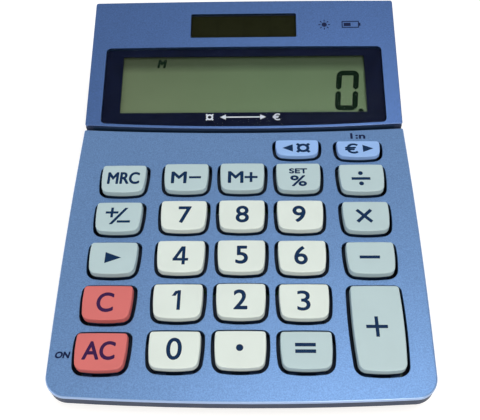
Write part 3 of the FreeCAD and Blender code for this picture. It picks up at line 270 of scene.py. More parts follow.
class Finish:
    """One procedural material: a Principled shader and the patterns that feed it, in object space."""

    def __init__(self, name, roughness=0.5, metallic=0.0, ior=1.5):
        self.material = bpy.data.materials.new(name)
        self.material.use_nodes = True
        self.tree = self.material.node_tree
        self.shader = self.tree.nodes["Principled BSDF"]
        self.shader.inputs["Roughness"].default_value = roughness
        self.shader.inputs["Metallic"].default_value = metallic
        self.shader.inputs["IOR"].default_value = ior
        self.place = self.add("ShaderNodeTexCoord").outputs["Object"]

    def add(self, kind, **settings):
        node = self.tree.nodes.new(kind)
        for key, value in settings.items():
            setattr(node, key, value)
        return node

    def link(self, source, target):
        self.tree.links.new(source, target)

    def put(self, value, target):
        """Feeds a socket from another socket, or sets it to a plain value."""
        if isinstance(value, bpy.types.NodeSocket):
            self.link(value, target)
        else:
            target.default_value = value

    def axes(self):
        """The place on the piece, parted into its X, Y and Z."""
        node = self.add("ShaderNodeSeparateXYZ")
        self.link(self.place, node.inputs["Vector"])
        return node.outputs

    def stretched(self, factors):
        mapping = self.add("ShaderNodeMapping")
        mapping.inputs["Scale"].default_value = factors
        self.link(self.place, mapping.inputs["Vector"])
        return mapping.outputs["Vector"]

    def noise(self, size, detail=2.0, stretch=None):
        """Noise whose grains measure about size, in metres."""
        texture = self.add("ShaderNodeTexNoise")
        texture.inputs["Scale"].default_value = 1.0 / size
        texture.inputs["Detail"].default_value = detail
        self.link(self.place if stretch is None else self.stretched(stretch), texture.inputs["Vector"])
        return texture.outputs["Fac"]

    def ranged(self, value, low, high, start=0.3, end=0.7):
        """Goes from low to high as the value goes from start to end, where noise has most of its levels."""
        node = self.add("ShaderNodeMapRange")
        self.put(value, node.inputs["Value"])
        node.inputs["From Min"].default_value = start
        node.inputs["From Max"].default_value = end
        node.inputs["To Min"].default_value = low
        node.inputs["To Max"].default_value = high
        return node.outputs["Result"]

    def maths(self, operation, first, second=0.0):
        node = self.add("ShaderNodeMath", operation=operation)
        self.put(first, node.inputs[0])
        self.put(second, node.inputs[1])
        return node.outputs["Value"]

    def blend(self, share, first, second, **settings):
        """Colour between first and second by share."""
        node = self.add("ShaderNodeMix", data_type="RGBA", **settings)
        self.put(share, node.inputs[0])
        self.put(self.opaque(first), node.inputs[6])
        self.put(self.opaque(second), node.inputs[7])
        return node.outputs[2]

    @staticmethod
    def opaque(colour):
        if isinstance(colour, bpy.types.NodeSocket):
            return colour
        return (*colour[:3], 1.0)

    def times(self, first, second):
        """Product of two colours."""
        return self.blend(1.0, first, second, blend_type="MULTIPLY")

    def mottled(self, colour, contrast, *patterns):
        """The colour, darker and lighter by contrast where the patterns say."""
        dark = [value * (1 - contrast) for value in colour]
        light = [min(1.0, value * (1 + contrast)) for value in colour]
        result = self.blend(self.ranged(patterns[0], 0.0, 1.0), dark, light)
        for pattern in patterns[1:]:
            level = self.add("ShaderNodeCombineColor")
            grey = self.ranged(pattern, 1 - contrast / 2, 1 + contrast / 2)
            for channel in ("Red", "Green", "Blue"):
                self.link(grey, level.inputs[channel])
            result = self.times(result, level.outputs["Color"])
        return result

    def colour(self, value):
        self.put(self.opaque(value), self.shader.inputs["Base Color"])

    def roughness(self, value):
        self.put(value, self.shader.inputs["Roughness"])

    def bump(self, height, depth):
        """Relief from a pattern, of the given depth in metres; reliefs add up."""
        node = self.add("ShaderNodeBump")
        node.inputs["Strength"].default_value = 1.0
        node.inputs["Distance"].default_value = depth
        self.put(height, node.inputs["Height"])
        before = self.shader.inputs["Normal"].links
        if before:
            self.link(before[0].from_socket, node.inputs["Normal"])
        self.link(node.outputs["Normal"], self.shader.inputs["Normal"])

    def painted_depth_shade(self, colour, out, level, reach, share):
        """Painted shade: the colour above a level along out, and from a reach below it only a share of it,
        mixed with a painted shadow colour.
        """
        axis = self.add("ShaderNodeVectorMath", operation="DOT_PRODUCT")
        self.link(self.place, axis.inputs[0])
        axis.inputs[1].default_value = out
        open_air = self.ranged(axis.outputs["Value"], 0.0, 1.0, level - reach, level)
        shaded_colour = self.blend(share, KEY_SHADOW, colour)
        return self.blend(open_air, shaded_colour, colour)

    def within(self, low, high):
        """1 inside an upright box between two corners seen from above, 0 outside."""
        axes = self.axes()
        result = 1.0
        for axis, start, end in zip("XY", low, high):
            middle = self.maths("SUBTRACT", axes[axis], (start + end) / 2)
            inside = self.maths("LESS_THAN", self.maths("ABSOLUTE", middle), (end - start) / 2)
            result = self.maths("MULTIPLY", inside, result)
        return result

    def border(self, piece, side, front, bow, rear):
        """1 in a band along the sides, the bowed front and the rear of a plate, 0 within."""
        points = [vertex.co for vertex in piece.data.vertices]
        half = max(point.x for point in points)
        start = min(point.y for point in points)
        end = max(point.y for point in points)
        axes = self.axes()
        across = self.maths("ABSOLUTE", axes["X"])
        share = self.maths("DIVIDE", across, half)
        curve = self.maths("MULTIPLY", self.maths("MULTIPLY", share, share), bow)
        depth = self.maths("SUBTRACT", axes["Y"], curve)
        beside = self.maths("GREATER_THAN", across, half - side)
        before = self.maths("LESS_THAN", depth, start + front)
        behind = self.maths("GREATER_THAN", axes["Y"], end - rear)
        return self.maths("MAXIMUM", self.maths("MAXIMUM", beside, before), behind)

    def rolled(self, out):
        """1 where a sheet rolls away from the face that looks along out, 0 on the face."""
        steep, level = 0.75, 0.96
        surface = self.add("ShaderNodeNewGeometry")
        upright = self.add("ShaderNodeVectorMath", operation="DOT_PRODUCT")
        self.link(surface.outputs["Normal"], upright.inputs[0])
        upright.inputs[1].default_value = out
        return self.ranged(upright.outputs["Value"], 1.0, 0.0, steep, level)


def plate_finish(name, colour, out, piece, side, front, bow, rear, highlight_lift):
    """Satin metallic skin: fine flakes, faint clouds, and a painted highlight where the sheet rolls over
    its edge.

    The widths side, front and rear say how far in from the outline the sheet counts as its edge.
    """
    highlight_gain = 1.3
    cloud_shade = (0.97, 0.97, 0.97)
    finish = Finish(name, roughness=0.36, metallic=0.8)
    grain = finish.noise(0.22 * MM, detail=3.0)
    flake = finish.noise(0.36 * MM, detail=1.0)
    cloud = finish.noise(9.0 * MM, detail=3.0)
    skin = finish.mottled(colour, 0.15, flake, grain)
    shade = finish.blend(finish.ranged(cloud, 0.0, 1.0), cloud_shade, WHITE)
    skin = finish.times(skin, shade)
    # Painted highlight: lighter colour where the sheet rolls over its outer edge.
    rim = finish.maths("MULTIPLY", finish.rolled(out), finish.border(piece, side, front, bow, rear))
    pale = [highlight_lift + highlight_gain * value for value in colour]
    finish.colour(finish.blend(rim, skin, pale))
    finish.roughness(finish.ranged(grain, 0.32, 0.46))
    finish.bump(grain, 0.005 * MM)
    return finish.material


def moulded_finish(
    name, colour, roughness=0.5, grain_size=0.18 * MM, grain_depth=0.004 * MM, contrast=0.025, ior=1.5
):
    """Injection-moulded plastic: fine spark texture, faint flow clouds and uneven gloss."""
    finish = Finish(name, roughness=roughness, ior=ior)
    grain = finish.noise(grain_size, detail=3.0)
    cloud = finish.noise(7.0 * MM, detail=2.0)
    finish.colour(finish.mottled(colour, contrast, cloud, grain))
    finish.roughness(finish.ranged(cloud, roughness - 0.05, roughness + 0.05))
    finish.bump(grain, grain_depth)
    return finish.material


def case_finish(name, colour):
    """Moulded plastic of the upper case, with painted shade under the plates, in the key holes and in the
    groove.
    """
    finish = Finish(name, roughness=0.5, ior=1.25)
    grain = finish.noise(0.3 * MM, detail=3.0)
    cloud = finish.noise(7.0 * MM, detail=2.0)
    plastic = finish.mottled(colour, 0.05, cloud, grain)
    # Painted shade inside the box under the plates.
    finish.colour(finish.blend(finish.within(*PAINTED_SHADE_BOX), plastic, CASE_SHADOW))
    finish.roughness(finish.ranged(cloud, 0.45, 0.55))
    finish.bump(grain, 0.008 * MM)
    return finish.material


def key_finish(name, colour):
    """Satin plastic of a key, with painted shade where the cap and its skirt go down into the plate."""
    finish = Finish(name, roughness=0.42, ior=1.35)
    grain = finish.noise(0.18 * MM, detail=3.0)
    cloud = finish.noise(7.0 * MM, detail=2.0)
    plastic = finish.mottled(colour, 0.02, cloud, grain)
    # Painted shade on the cap's walls and skirt below the plate's face.
    finish.colour(finish.painted_depth_shade(plastic, KEYBOARD_OUT, PLATE_LEVEL, reach=0.2 * MM, share=0.012))
    finish.roughness(finish.ranged(cloud, 0.36, 0.46))
    finish.bump(grain, 0.003 * MM)
    return finish.material


def ink_finish(name, colour, ior=1.2):
    """Matt print with the faint unevenness of a screen."""
    finish = Finish(name, roughness=0.45, ior=ior)
    weave = finish.noise(0.12 * MM, detail=2.0)
    finish.colour(finish.mottled(colour, 0.12, weave))
    finish.roughness(finish.ranged(weave, 0.4, 0.52))
    finish.bump(weave, 0.002 * MM)
    return finish.material


def clear_finish(name, tint):
    """Polished clear plastic or glass: see-through, with a faint mirror film that follows the angle."""
    film_ior = 1.06
    finish = Finish(name)
    finish.tree.nodes.remove(finish.shader)
    through = finish.add("ShaderNodeBsdfTransparent")
    through.inputs["Color"].default_value = (*tint, 1.0)
    shine = finish.add("ShaderNodeBsdfGlossy")
    haze = finish.noise(6.0 * MM, detail=4.0)
    finish.put(finish.ranged(haze, 0.03, 0.09), shine.inputs["Roughness"])
    angle = finish.add("ShaderNodeFresnel")
    angle.inputs["IOR"].default_value = film_ior
    joined = finish.add("ShaderNodeMixShader")
    finish.link(angle.outputs["Fac"], joined.inputs[0])
    finish.link(through.outputs["BSDF"], joined.inputs[1])
    finish.link(shine.outputs["BSDF"], joined.inputs[2])
    output = finish.tree.nodes["Material Output"]
    finish.link(joined.outputs["Shader"], output.inputs["Surface"])
    return finish.material


def frame_print_finish():
    """Navy print behind the display window."""
    finish = Finish("display_frame_print", roughness=0.4, ior=1.08)
    weave = finish.noise(0.15 * MM, detail=2.0)
    cloud = finish.noise(5.0 * MM)
    finish.colour(finish.mottled(colours().frame, 0.15, cloud, weave))
    finish.bump(weave, 0.002 * MM)
    return finish.material


def display_finish():
    """The display's ground: a satin green-grey film with fine grain, a faint warm cast to the left, and
    painted shade towards the frame at its rear.
    """
    warm_share = (1.06, 0.93, 0.98)
    pale = (0.96, 0.96, 0.96)
    finish = Finish("display_ground", roughness=0.45, ior=1.2)
    ground = colours().display
    grain = finish.noise(0.16 * MM, detail=3.0)
    cloud = finish.noise(14.0 * MM, detail=2.0)
    axes = finish.axes()
    warm = finish.ranged(axes["X"], 1.0, 0.0, -45 * MM, 10 * MM)
    sand = [value * share for value, share in zip(ground, warm_share)]
    cast = finish.blend(warm, ground, sand)
    # Painted shade of the frame on the display ground.
    for share, start, end in DISPLAY_SHADES:
        depth = finish.ranged(axes["Y"], 0.0, 1.0, start, end)
        cast = finish.times(cast, finish.blend(depth, WHITE, (share, share, share)))
    finish.colour(finish.times(cast, finish.mottled(pale, 0.06, grain, cloud)))
    finish.bump(grain, 0.002 * MM)
    return finish.material


def solar_finish():
    """Amorphous silicon on glass: four brown fields between thin scribed lines."""
    field_width = 9.1 * MM
    line_share, line_tone = 0.03, 0.6
    finish = Finish("solar_silicon", roughness=0.3, ior=1.08)
    brown = colours().solar
    cloud = finish.noise(3.0 * MM, detail=3.0)
    axes = finish.axes()
    field = finish.maths("FRACT", finish.maths("DIVIDE", axes["X"], field_width))
    line = finish.maths("LESS_THAN", field, line_share)
    dark = [value * line_tone for value in brown]
    finish.colour(finish.blend(line, finish.mottled(brown, 0.1, cloud), dark))
    finish.roughness(finish.ranged(cloud, 0.25, 0.35))
    return finish.material


def rubber_finish(name, colour):
    """Matt rubber with a little dust on it."""
    finish = Finish(name, roughness=0.8)
    dust = finish.noise(1.2 * MM, detail=4.0)
    grain = finish.noise(0.2 * MM, detail=2.0)
    finish.colour(finish.mottled(colour, 0.1, dust, grain))
    finish.roughness(finish.ranged(dust, 0.72, 0.9))
    finish.bump(grain, 0.01 * MM)
    return finish.material


def steel_finish(name, colour, roughness=0.28):
    """Bare metal with fine drawn lines and faint stains."""
    finish = Finish(name, roughness=roughness, metallic=1.0)
    lines = finish.noise(0.3 * MM, detail=2.0, stretch=(1.0, 1.0, 12.0))
    stain = finish.noise(2.5 * MM, detail=3.0)
    finish.colour(finish.mottled(colour, 0.08, stain, lines))
    finish.roughness(finish.ranged(lines, roughness - 0.08, roughness + 0.1))
    finish.bump(lines, 0.003 * MM)
    return finish.material


def board_finish():
    """Green solder mask over copper runs."""
    finish = Finish("board_laminate", roughness=0.35)
    runs = finish.add("ShaderNodeTexBrick", offset=0.35)
    runs.inputs["Scale"].default_value = 1.0 / (6.0 * MM)
    runs.inputs["Mortar Size"].default_value = 0.05
    runs.inputs["Color1"].default_value = (0.02, 0.11, 0.035, 1.0)
    runs.inputs["Color2"].default_value = (0.015, 0.09, 0.03, 1.0)
    runs.inputs["Mortar"].default_value = (0.05, 0.2, 0.07, 1.0)
    finish.link(finish.place, runs.inputs["Vector"])
    finish.colour(runs.outputs["Color"])
    finish.roughness(finish.ranged(finish.noise(1.5 * MM), 0.28, 0.42))
    finish.bump(runs.outputs["Fac"], 0.02 * MM)
    return finish.material


def film_finish():
    """Amber film with printed conductors along its length."""
    conductor_pitch = 0.9 * MM
    finish = Finish("flexible_film", roughness=0.3)
    axes = finish.axes()
    run = finish.maths("FRACT", finish.maths("DIVIDE", axes["X"], conductor_pitch))
    line = finish.maths("LESS_THAN", run, 0.5)
    cloud = finish.noise(2.0 * MM)
    finish.colour(finish.blend(line, finish.mottled(AMBER_FILM, 0.08, cloud), FILM_CONDUCTOR))
    return finish.material


def resin_finish():
    """Glossy black resin with soft swirls."""
    finish = Finish("black_resin", roughness=0.25)
    swirl = finish.noise(1.6 * MM, detail=3.0)
    finish.colour(finish.mottled(RESIN, 0.3, swirl))
    finish.roughness(finish.ranged(swirl, 0.18, 0.34))
    finish.bump(swirl, 0.02 * MM)
    return finish.material


def wear(names, material):
    """Gives one finish to several pieces of the frame."""
    for name in names:
        slots = frame["nodes"][name].data.materials
        slots.clear()
        slots.append(material)


def facing(node):
    """Direction that the upper skin of a flat piece faces."""
    nearly_up = 0.9
    upper = [face for face in frame["nodes"][node].data.polygons if face.normal.z > nearly_up]
    return max(upper, key=lambda face: face.area).normal.copy()


def upward(out):
    """Up the slope of a face that looks along out."""
    return Vector((0.0, out.z, -out.y))


def top_middle(node, out):
    """Middle of the flat face on top of a piece, as seen along out."""
    rim = 0.05 * MM
    up = upward(out)
    points = [vertex.co for vertex in frame["nodes"][node].data.vertices]
    height = max(point.dot(out) for point in points)
    top = [point for point in points if point.dot(out) > height - rim]
    rise = [point.dot(up) for point in top]
    across = [point.x for point in top]
    middle = Vector(((min(across) + max(across)) / 2, 0.0, 0.0))
    return middle + up * (min(rise) + max(rise)) / 2 + out * height


def on_face(origin, out):
    """Turns the flat drawing plane onto a face: across, up the slope and out."""
    axes = Matrix((Vector((1.0, 0.0, 0.0)), upward(out), out)).transposed()
    return Matrix.Translation(origin) @ axes.to_4x4()


def sized(bm, width, height, across, up):
    """Scales a flat drawing to a width and height and sets its middle at a place."""
    xs = [vertex.co.x for vertex in bm.verts]
    ys = [vertex.co.y for vertex in bm.verts]
    middle = Vector(((min(xs) + max(xs)) / 2, (min(ys) + max(ys)) / 2, 0.0))
    bmesh.ops.translate(bm, verts=bm.verts, vec=-middle)
    factors = (width / (max(xs) - min(xs)), height / (max(ys) - min(ys)), 1.0)
    bmesh.ops.scale(bm, verts=bm.verts, vec=factors)
    bmesh.ops.translate(bm, verts=bm.verts, vec=(across, up, 0.0))
    return bm


def sheared(bm, slant):
    """Leans a flat drawing to the right by slant, as a share of its height."""
    lean = Matrix.Identity(4)
    lean[0][1] = slant
    bmesh.ops.transform(bm, matrix=lean, verts=bm.verts)
    return bm


def words_shape(words):
    """Outline of words in the plain face, filled and flat."""
    same_point = 1e-5
    curve = bpy.data.curves.new("words", "FONT")
    curve.body = words
    curve.size = 1.0
    curve.resolution_u = 8
    holder = bpy.data.objects.new("words", curve)
    bpy.context.scene.collection.objects.link(holder)
    bpy.context.view_layer.update()
    flat = bpy.data.meshes.new_from_object(holder.evaluated_get(bpy.context.evaluated_depsgraph_get()))
    bm = bmesh.new()
    bm.from_mesh(flat)
    bmesh.ops.remove_doubles(bm, verts=bm.verts, dist=same_point)
    bpy.data.objects.remove(holder)
    bpy.data.meshes.remove(flat)
    bpy.data.curves.remove(curve)
    return bm


def bolder(bm, spread):
    """Spreads a flat drawing on all sides, as ink does: it is laid once more in each direction."""
    directions, hairs_in_layer = 8, 10
    plain = bm.verts[:] + bm.edges[:] + bm.faces[:]
    for turn in range(directions):
        angle = 2 * math.pi * turn / directions
        copy = bmesh.ops.duplicate(bm, geom=plain)
        moved = [item for item in copy["geom"] if isinstance(item, bmesh.types.BMVert)]
        step = (spread * math.cos(angle), spread * math.sin(angle), (turn + 1) * LAYER / hairs_in_layer)
        bmesh.ops.translate(bm, verts=moved, vec=step)
    return bm


def bar_shape():
    """A square with sides of 1, to be scaled."""
    bm = bmesh.new()
    bmesh.ops.create_grid(bm, x_segments=1, y_segments=1, size=0.5)
    return bm


def disc_shape(corners=32):
    """A disc as wide as 1, or a regular shape with fewer corners."""
    bm = bmesh.new()
    bmesh.ops.create_circle(bm, cap_ends=True, segments=corners, radius=0.5)
    return bm


def arrow_shape(turn):
    """A triangle, turned from pointing up the face."""
    bm = disc_shape(3)
    bmesh.ops.rotate(bm, verts=bm.verts, matrix=Matrix.Rotation(turn, 3, "Z"))
    return bm


def cross_shape(width, height, stroke):
    """A plus sign: a grid of nine fields without its corners."""
    bm = bmesh.new()
    bmesh.ops.create_grid(bm, x_segments=3, y_segments=3, size=0.5)
    between = 0.3
    for vertex in bm.verts:
        for axis, reach in ((0, width), (1, height)):
            side = math.copysign(0.5, vertex.co[axis])
            vertex.co[axis] = side * (stroke if abs(vertex.co[axis]) < between else reach)
    corners = [
        face for face in bm.faces
        if min(abs(face.calc_center_median().x), abs(face.calc_center_median().y)) > stroke / 2
    ]
    bmesh.ops.delete(bm, geom=corners, context="FACES")
    return bm


def slash_shape(width, height, stroke):
    """A slanted bar that fills a box of the given width and height."""
    bm = bar_shape()
    bmesh.ops.scale(bm, verts=bm.verts, vec=(stroke * math.hypot(width, height) / height, height, 1.0))
    return sheared(bm, (width - stroke) / height)


def mark(form, detail, width, height, across, up, weight=1.0):
    """One printed mark as a flat bmesh, from its measures in millimetres; weight thickens words."""
    width, height, across, up = (value * MM for value in (width, height, across, up))
    if form == "words":
        spread = bpy.context.scene.calculator_print.weight * min(1.0, height / FULL_INK_HEIGHT) * weight
        shape = sized(words_shape(detail), width - 2 * spread, height - 2 * spread, across, up)
        return bolder(shape, spread)
    if form == "bar":
        shape = bar_shape()
    elif form == "disc":
        shape = disc_shape()
    elif form == "arrow":
        shape = arrow_shape(-math.pi / 2)
    elif form == "back_arrow":
        shape = arrow_shape(math.pi / 2)
    elif form == "cross":
        shape = cross_shape(width, height, detail * MM)
    elif form == "slash":
        shape = slash_shape(width, height, detail * MM)
    elif form == "times":
        arm = width * math.sqrt(2) - detail * MM
        shape = cross_shape(arm, arm, detail * MM)
        bmesh.ops.rotate(shape, verts=shape.verts, matrix=Matrix.Rotation(math.pi / 4, 3, "Z"))
    else:
        raise ValueError(f"no such form of mark: {form}")
    return sized(shape, width, height, across, up)


def set_at(bm, place):
    """Moves a flat drawing to its place across and up a face, in millimetres."""
    across, up = place
    bmesh.ops.translate(bm, verts=bm.verts, vec=(across * MM, up * MM, 0.0))
    return bm


def gathered(shapes):
    """Several flat drawings in one, each a hair above the last, so that no two lie in one plane."""
    whole = bmesh.new()
    for layer, shape in enumerate(shapes):
        bmesh.ops.translate(shape, verts=shape.verts, vec=(0.0, 0.0, layer * LAYER))
        part = bpy.data.meshes.new("part")
        shape.to_mesh(part)
        shape.free()
        whole.from_mesh(part)
        bpy.data.meshes.remove(part)
    return whole


def printed(name, shape, origin, out, body, material):
    """Makes a flat drawing a thin layer of ink on a face, as a piece that rides on a body."""
    sizes = bpy.context.scene.calculator_print
    bmesh.ops.translate(shape, verts=shape.verts, vec=(0.0, 0.0, -sizes.root))
    grown = bmesh.ops.extrude_face_region(shape, geom=shape.faces[:], use_keep_orig=True)
    lifted = [item for item in grown["geom"] if isinstance(item, bmesh.types.BMVert)]
    bmesh.ops.translate(shape, verts=lifted, vec=(0.0, 0.0, sizes.root + sizes.lift))
    bmesh.ops.recalc_face_normals(shape, faces=shape.faces)
    bmesh.ops.transform(shape, matrix=on_face(origin, out), verts=shape.verts)
    mesh = bpy.data.meshes.new(name)
    shape.to_mesh(mesh)
    shape.free()
    mesh.materials.append(material)
    piece = bpy.data.objects.new(name, mesh)
    bpy.context.scene.collection.objects.link(piece)
    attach(piece, body)


class CALCULATOR_OT_case(Operator):
    """Finish the upper case, the lower case, its door, feet and screws"""

    bl_idname = "calculator.case"
    bl_label = "Case"

    def execute(self, context):
        chosen = colours()
        wear(["upper_case"], case_finish("case_plastic", chosen.case))
        base = moulded_finish(
            "base_plastic", chosen.base, roughness=0.55,
            grain_size=0.35 * MM, grain_depth=0.012 * MM, contrast=0.06, ior=1.3,
        )
        wear(["lower_case", "battery_door"], base)
        wear(["rubber_feet"], rubber_finish("foot_rubber", FOOT_RUBBER))
        screws = ["case_screws", "battery_door_screw", "board_screws", "lcd_holder_screws"]
        wear(screws, steel_finish("screw_steel", SCREW_STEEL))
        return {"FINISHED"}


class CALCULATOR_OT_plates(Operator):
    """Finish the two blue metal face plates"""

    bl_idname = "calculator.plates"
    bl_label = "Face plates"

    def execute(self, context):
        chosen = colours()
        keyboard, display = (frame["nodes"][name] for name in ("keyboard_faceplate", "display_faceplate"))
        # Both plates get a painted highlight along their rolled edges.
        plate = plate_finish(
            "keyboard_metal", chosen.plate, KEYBOARD_OUT, keyboard,
            side=4.5 * MM, front=3.0 * MM, bow=0.0, rear=0.0, highlight_lift=0.18,
        )
        wear(["keyboard_faceplate"], plate)
        lid = plate_finish(
            "display_metal", chosen.lid, facing("display_faceplate"), display,
            side=4.0 * MM, front=0.5 * MM, bow=1.5 * MM, rear=1.5 * MM, highlight_lift=0.05,
        )
        wear(["display_faceplate"], lid)
        return {"FINISHED"}


class CALCULATOR_OT_keys(Operator):
    """Finish the keys in their four colours"""

    bl_idname = "calculator.keys"
    bl_label = "Keys"

    def execute(self, context):
        chosen = colours()
        wear(CREAM_KEYS, key_finish("cream_keys", chosen.cream))
        wear(GREY_KEYS, key_finish("grey_green_keys", chosen.grey))
        wear(CORAL_KEYS, key_finish("red_keys", chosen.coral))
        wear(SKY_KEYS, key_finish("blue_keys", chosen.sky))
        return {"FINISHED"}


class CALCULATOR_OT_legends(Operator):
    """Print the legends on the keys"""

    bl_idname = "calculator.legends"
    bl_label = "Key legends"

    def execute(self, context):
        ink = ink_finish("legend_ink", colours().ink)
        coral_ink = ink_finish("coral_legend_ink", colours().coral_ink)
        for key, marks in LEGENDS.items():
            shape = gathered(mark(*measures) for measures in marks)
            name = key.replace("key_", "legend_")
            chosen = coral_ink if key in CORAL_KEYS else ink
            printed(name, shape, top_middle(key, KEYBOARD_OUT), KEYBOARD_OUT, key, chosen)
        return {"FINISHED"}


class CALCULATOR_OT_plate_print(Operator):
    """Print the generic marks on the face plates"""

    bl_idname = "calculator.plate_print"
    bl_label = "Plate print"

    def execute(self, context):
        ink = ink_finish("plate_ink", paint(*PLATE_INK))
        for name, words, key, width, height, across, up, slant in PLATE_WORDS:
            origin = top_middle(key, KEYBOARD_OUT)
            origin += KEYBOARD_OUT * (PLATE_LEVEL - origin.dot(KEYBOARD_OUT))
            shape = sheared(mark("words", words, width, height, across, up), slant)
            printed(name, shape, origin, KEYBOARD_OUT, ROOT_BODY, ink)
        out = facing("display_window")
        beside = top_middle("solar_window", out)
        beside += out * (top_middle("display_faceplate", out) - beside).dot(out)
        shape = gathered([set_at(self.sun(), SUN_PLACE), set_at(self.battery(), BATTERY_PLACE)])
        printed("print_power", shape, beside, out, ROOT_BODY, ink)
        pale = ink_finish("pale_ink", paint(*PALE_INK))
        middle = top_middle("display_window", out)
        shape = gathered(mark(*measures) for measures in EXCHANGE_MARKS)
        printed("print_exchange", shape, middle, out, ROOT_BODY, pale)
        return {"FINISHED"}

    def sun(self):
        """A small sun: a disc with eight rays."""
        disc, ray_length, ray_width, ray_middle, rays = 1.8, 0.75, 0.34, 1.65, 8
        shapes = [mark("disc", 0, disc, disc, 0.0, 0.0)]
        for turn in range(rays):
            ray = mark("bar", 0, ray_length, ray_width, ray_middle, 0.0)
            angle = Matrix.Rotation(turn * 2 * math.pi / rays, 3, "Z")
            bmesh.ops.rotate(ray, verts=ray.verts, matrix=angle)
            shapes.append(ray)
        return gathered(shapes)

    def battery(self):
        """A small lying battery: an outline with a filled end and its button."""
        width, height, line, fill = 6.0, 2.8, 0.36, 2.4
        button, button_height = 0.5, 1.2
        return gathered([
            mark("bar", 0, width, line, 0.0, (height - line) / 2),
            mark("bar", 0, width, line, 0.0, (line - height) / 2),
            mark("bar", 0, line, height - 2 * line, (line - width) / 2, 0.0),
            mark("bar", 0, line, height - 2 * line, (width - line) / 2, 0.0),
            mark("bar", 0, fill, height - 4 * line, -width / 2 + 2 * line + fill / 2, 0.0),
            mark("bar", 0, button, button_height, width / 2 + button / 2, 0.0),
        ])


class CALCULATOR_OT_display(Operator):
    """Finish the display window, its printed frame, the display cell and the solar cell"""

    bl_idname = "calculator.display"
    bl_label = "Display and solar cell"

    def execute(self, context):
        wear(["display_window", "solar_window"], clear_finish("clear_window", WINDOW_TINT))
        wear(["display_bezel"], frame_print_finish())
        wear(["lcd_front_polariser"], display_finish())
        wear(["lcd_front_glass", "lcd_rear_glass"], clear_finish("display_glass", GLASS_TINT))
        reflector = moulded_finish(
            "reflector", colours().display, roughness=0.35, grain_size=0.15 * MM, contrast=0.04
        )
        wear(["lcd_reflector"], reflector)
        wear(["solar_cell"], solar_finish())
        return {"FINISHED"}


class CALCULATOR_OT_segments(Operator):
    """Lay the dark segments of the display: a nought, its point and the memory sign"""

    bl_idname = "calculator.segments"
    bl_label = "Display segments"

    def execute(self, context):
        out = facing("display_window")
        origin = top_middle("lcd_front_glass", out)
        ground = top_middle("lcd_front_polariser", out).dot(out)
        origin += out * (ground - origin.dot(out))
        ink = ink_finish("display_segments", colours().segment, ior=1.08)
        printed("display_nought", self.nought(), origin, out, ROOT_BODY, ink)
        printed("display_point", mark(*DISPLAY_POINT), origin, out, ROOT_BODY, ink)
        memory = set_at(sheared(mark(*MEMORY_SIGN), MEMORY_SIGN_SLANT), MEMORY_SIGN_PLACE)
        printed("display_memory_sign", memory, origin, out, ROOT_BODY, ink)
        return {"FINISHED"}

    def nought(self):
        """Six lit segments of one digit: a rounded ring, parted half way up with pointed ends."""
        width, height, stroke, gap = 7.65 * MM, 15.25 * MM, 1.9 * MM, 0.5 * MM
        corner, tip = stroke * 1.1, stroke * 0.42
        hair = 1e-6
        half = bar_shape()
        bmesh.ops.scale(half, verts=half.verts, vec=(width, height, 1.0))
        bmesh.ops.bevel(
            half, geom=half.verts[:], offset=corner, offset_type="OFFSET", affect="VERTICES",
            segments=6, profile=0.5, material=-1,
        )
        ring = bmesh.ops.inset_region(
            half, faces=half.faces[:], thickness=stroke, use_boundary=True, use_even_offset=True
        )
        inner = [face for face in half.faces if face not in ring["faces"]]
        bmesh.ops.delete(half, geom=inner, context="FACES")
        bmesh.ops.bisect_plane(
            half, geom=half.verts[:] + half.edges[:] + half.faces[:], dist=1e-7,
            plane_co=(0.0, gap / 2, 0.0), plane_no=(0.0, 1.0, 0.0), clear_inner=True,
        )
        feet = [vertex for vertex in half.verts if vertex.co.y < gap / 2 + hair]
        bmesh.ops.bevel(
            half, geom=feet, offset=tip, offset_type="OFFSET", affect="VERTICES",
            segments=1, profile=0.5, material=-1,
        )
        mirrored = bmesh.ops.duplicate(half, geom=half.verts[:] + half.edges[:] + half.faces[:])
        lower = [item for item in mirrored["geom"] if isinstance(item, bmesh.types.BMVert)]
        bmesh.ops.rotate(half, verts=lower, matrix=Matrix.Rotation(math.pi, 3, "Z"))
        return set_at(sheared(half, NOUGHT_SLANT), NOUGHT_PLACE)


class CALCULATOR_OT_inner_parts(Operator):
    """Finish the board, the key mat and the other inner pieces"""

    bl_idname = "calculator.inner_parts"
    bl_label = "Inner parts"

    def execute(self, context):
        wear(["main_board"], board_finish())
        wear(["rubber_key_mat"], rubber_finish("grey_rubber", MAT_RUBBER))
        holder = moulded_finish(
            "holder_plastic", HOLDER_PLASTIC, grain_size=0.4 * MM, grain_depth=0.01 * MM
        )
        wear(["lcd_holder"], holder)
        wear(["film_connector"], film_finish())
        wear(["chip_resin", "chip_resistors", "capacitor"], resin_finish())
        contacts = ["battery_contact_positive", "battery_contact_negative"]
        wear(contacts, steel_finish("contact_metal", CONTACT_METAL, roughness=0.22))
        wear(["button_cell"], steel_finish("cell_steel", CELL_STEEL, roughness=0.2))
        for shade, colour in (("red", RED_INSULATION), ("black", BLACK_INSULATION)):
            insulation = moulded_finish(f"{shade}_insulation", colour, roughness=0.4)
            wear([f"battery_wire_{shade}", f"solar_wire_{shade}"], insulation)
        return {"FINISHED"}


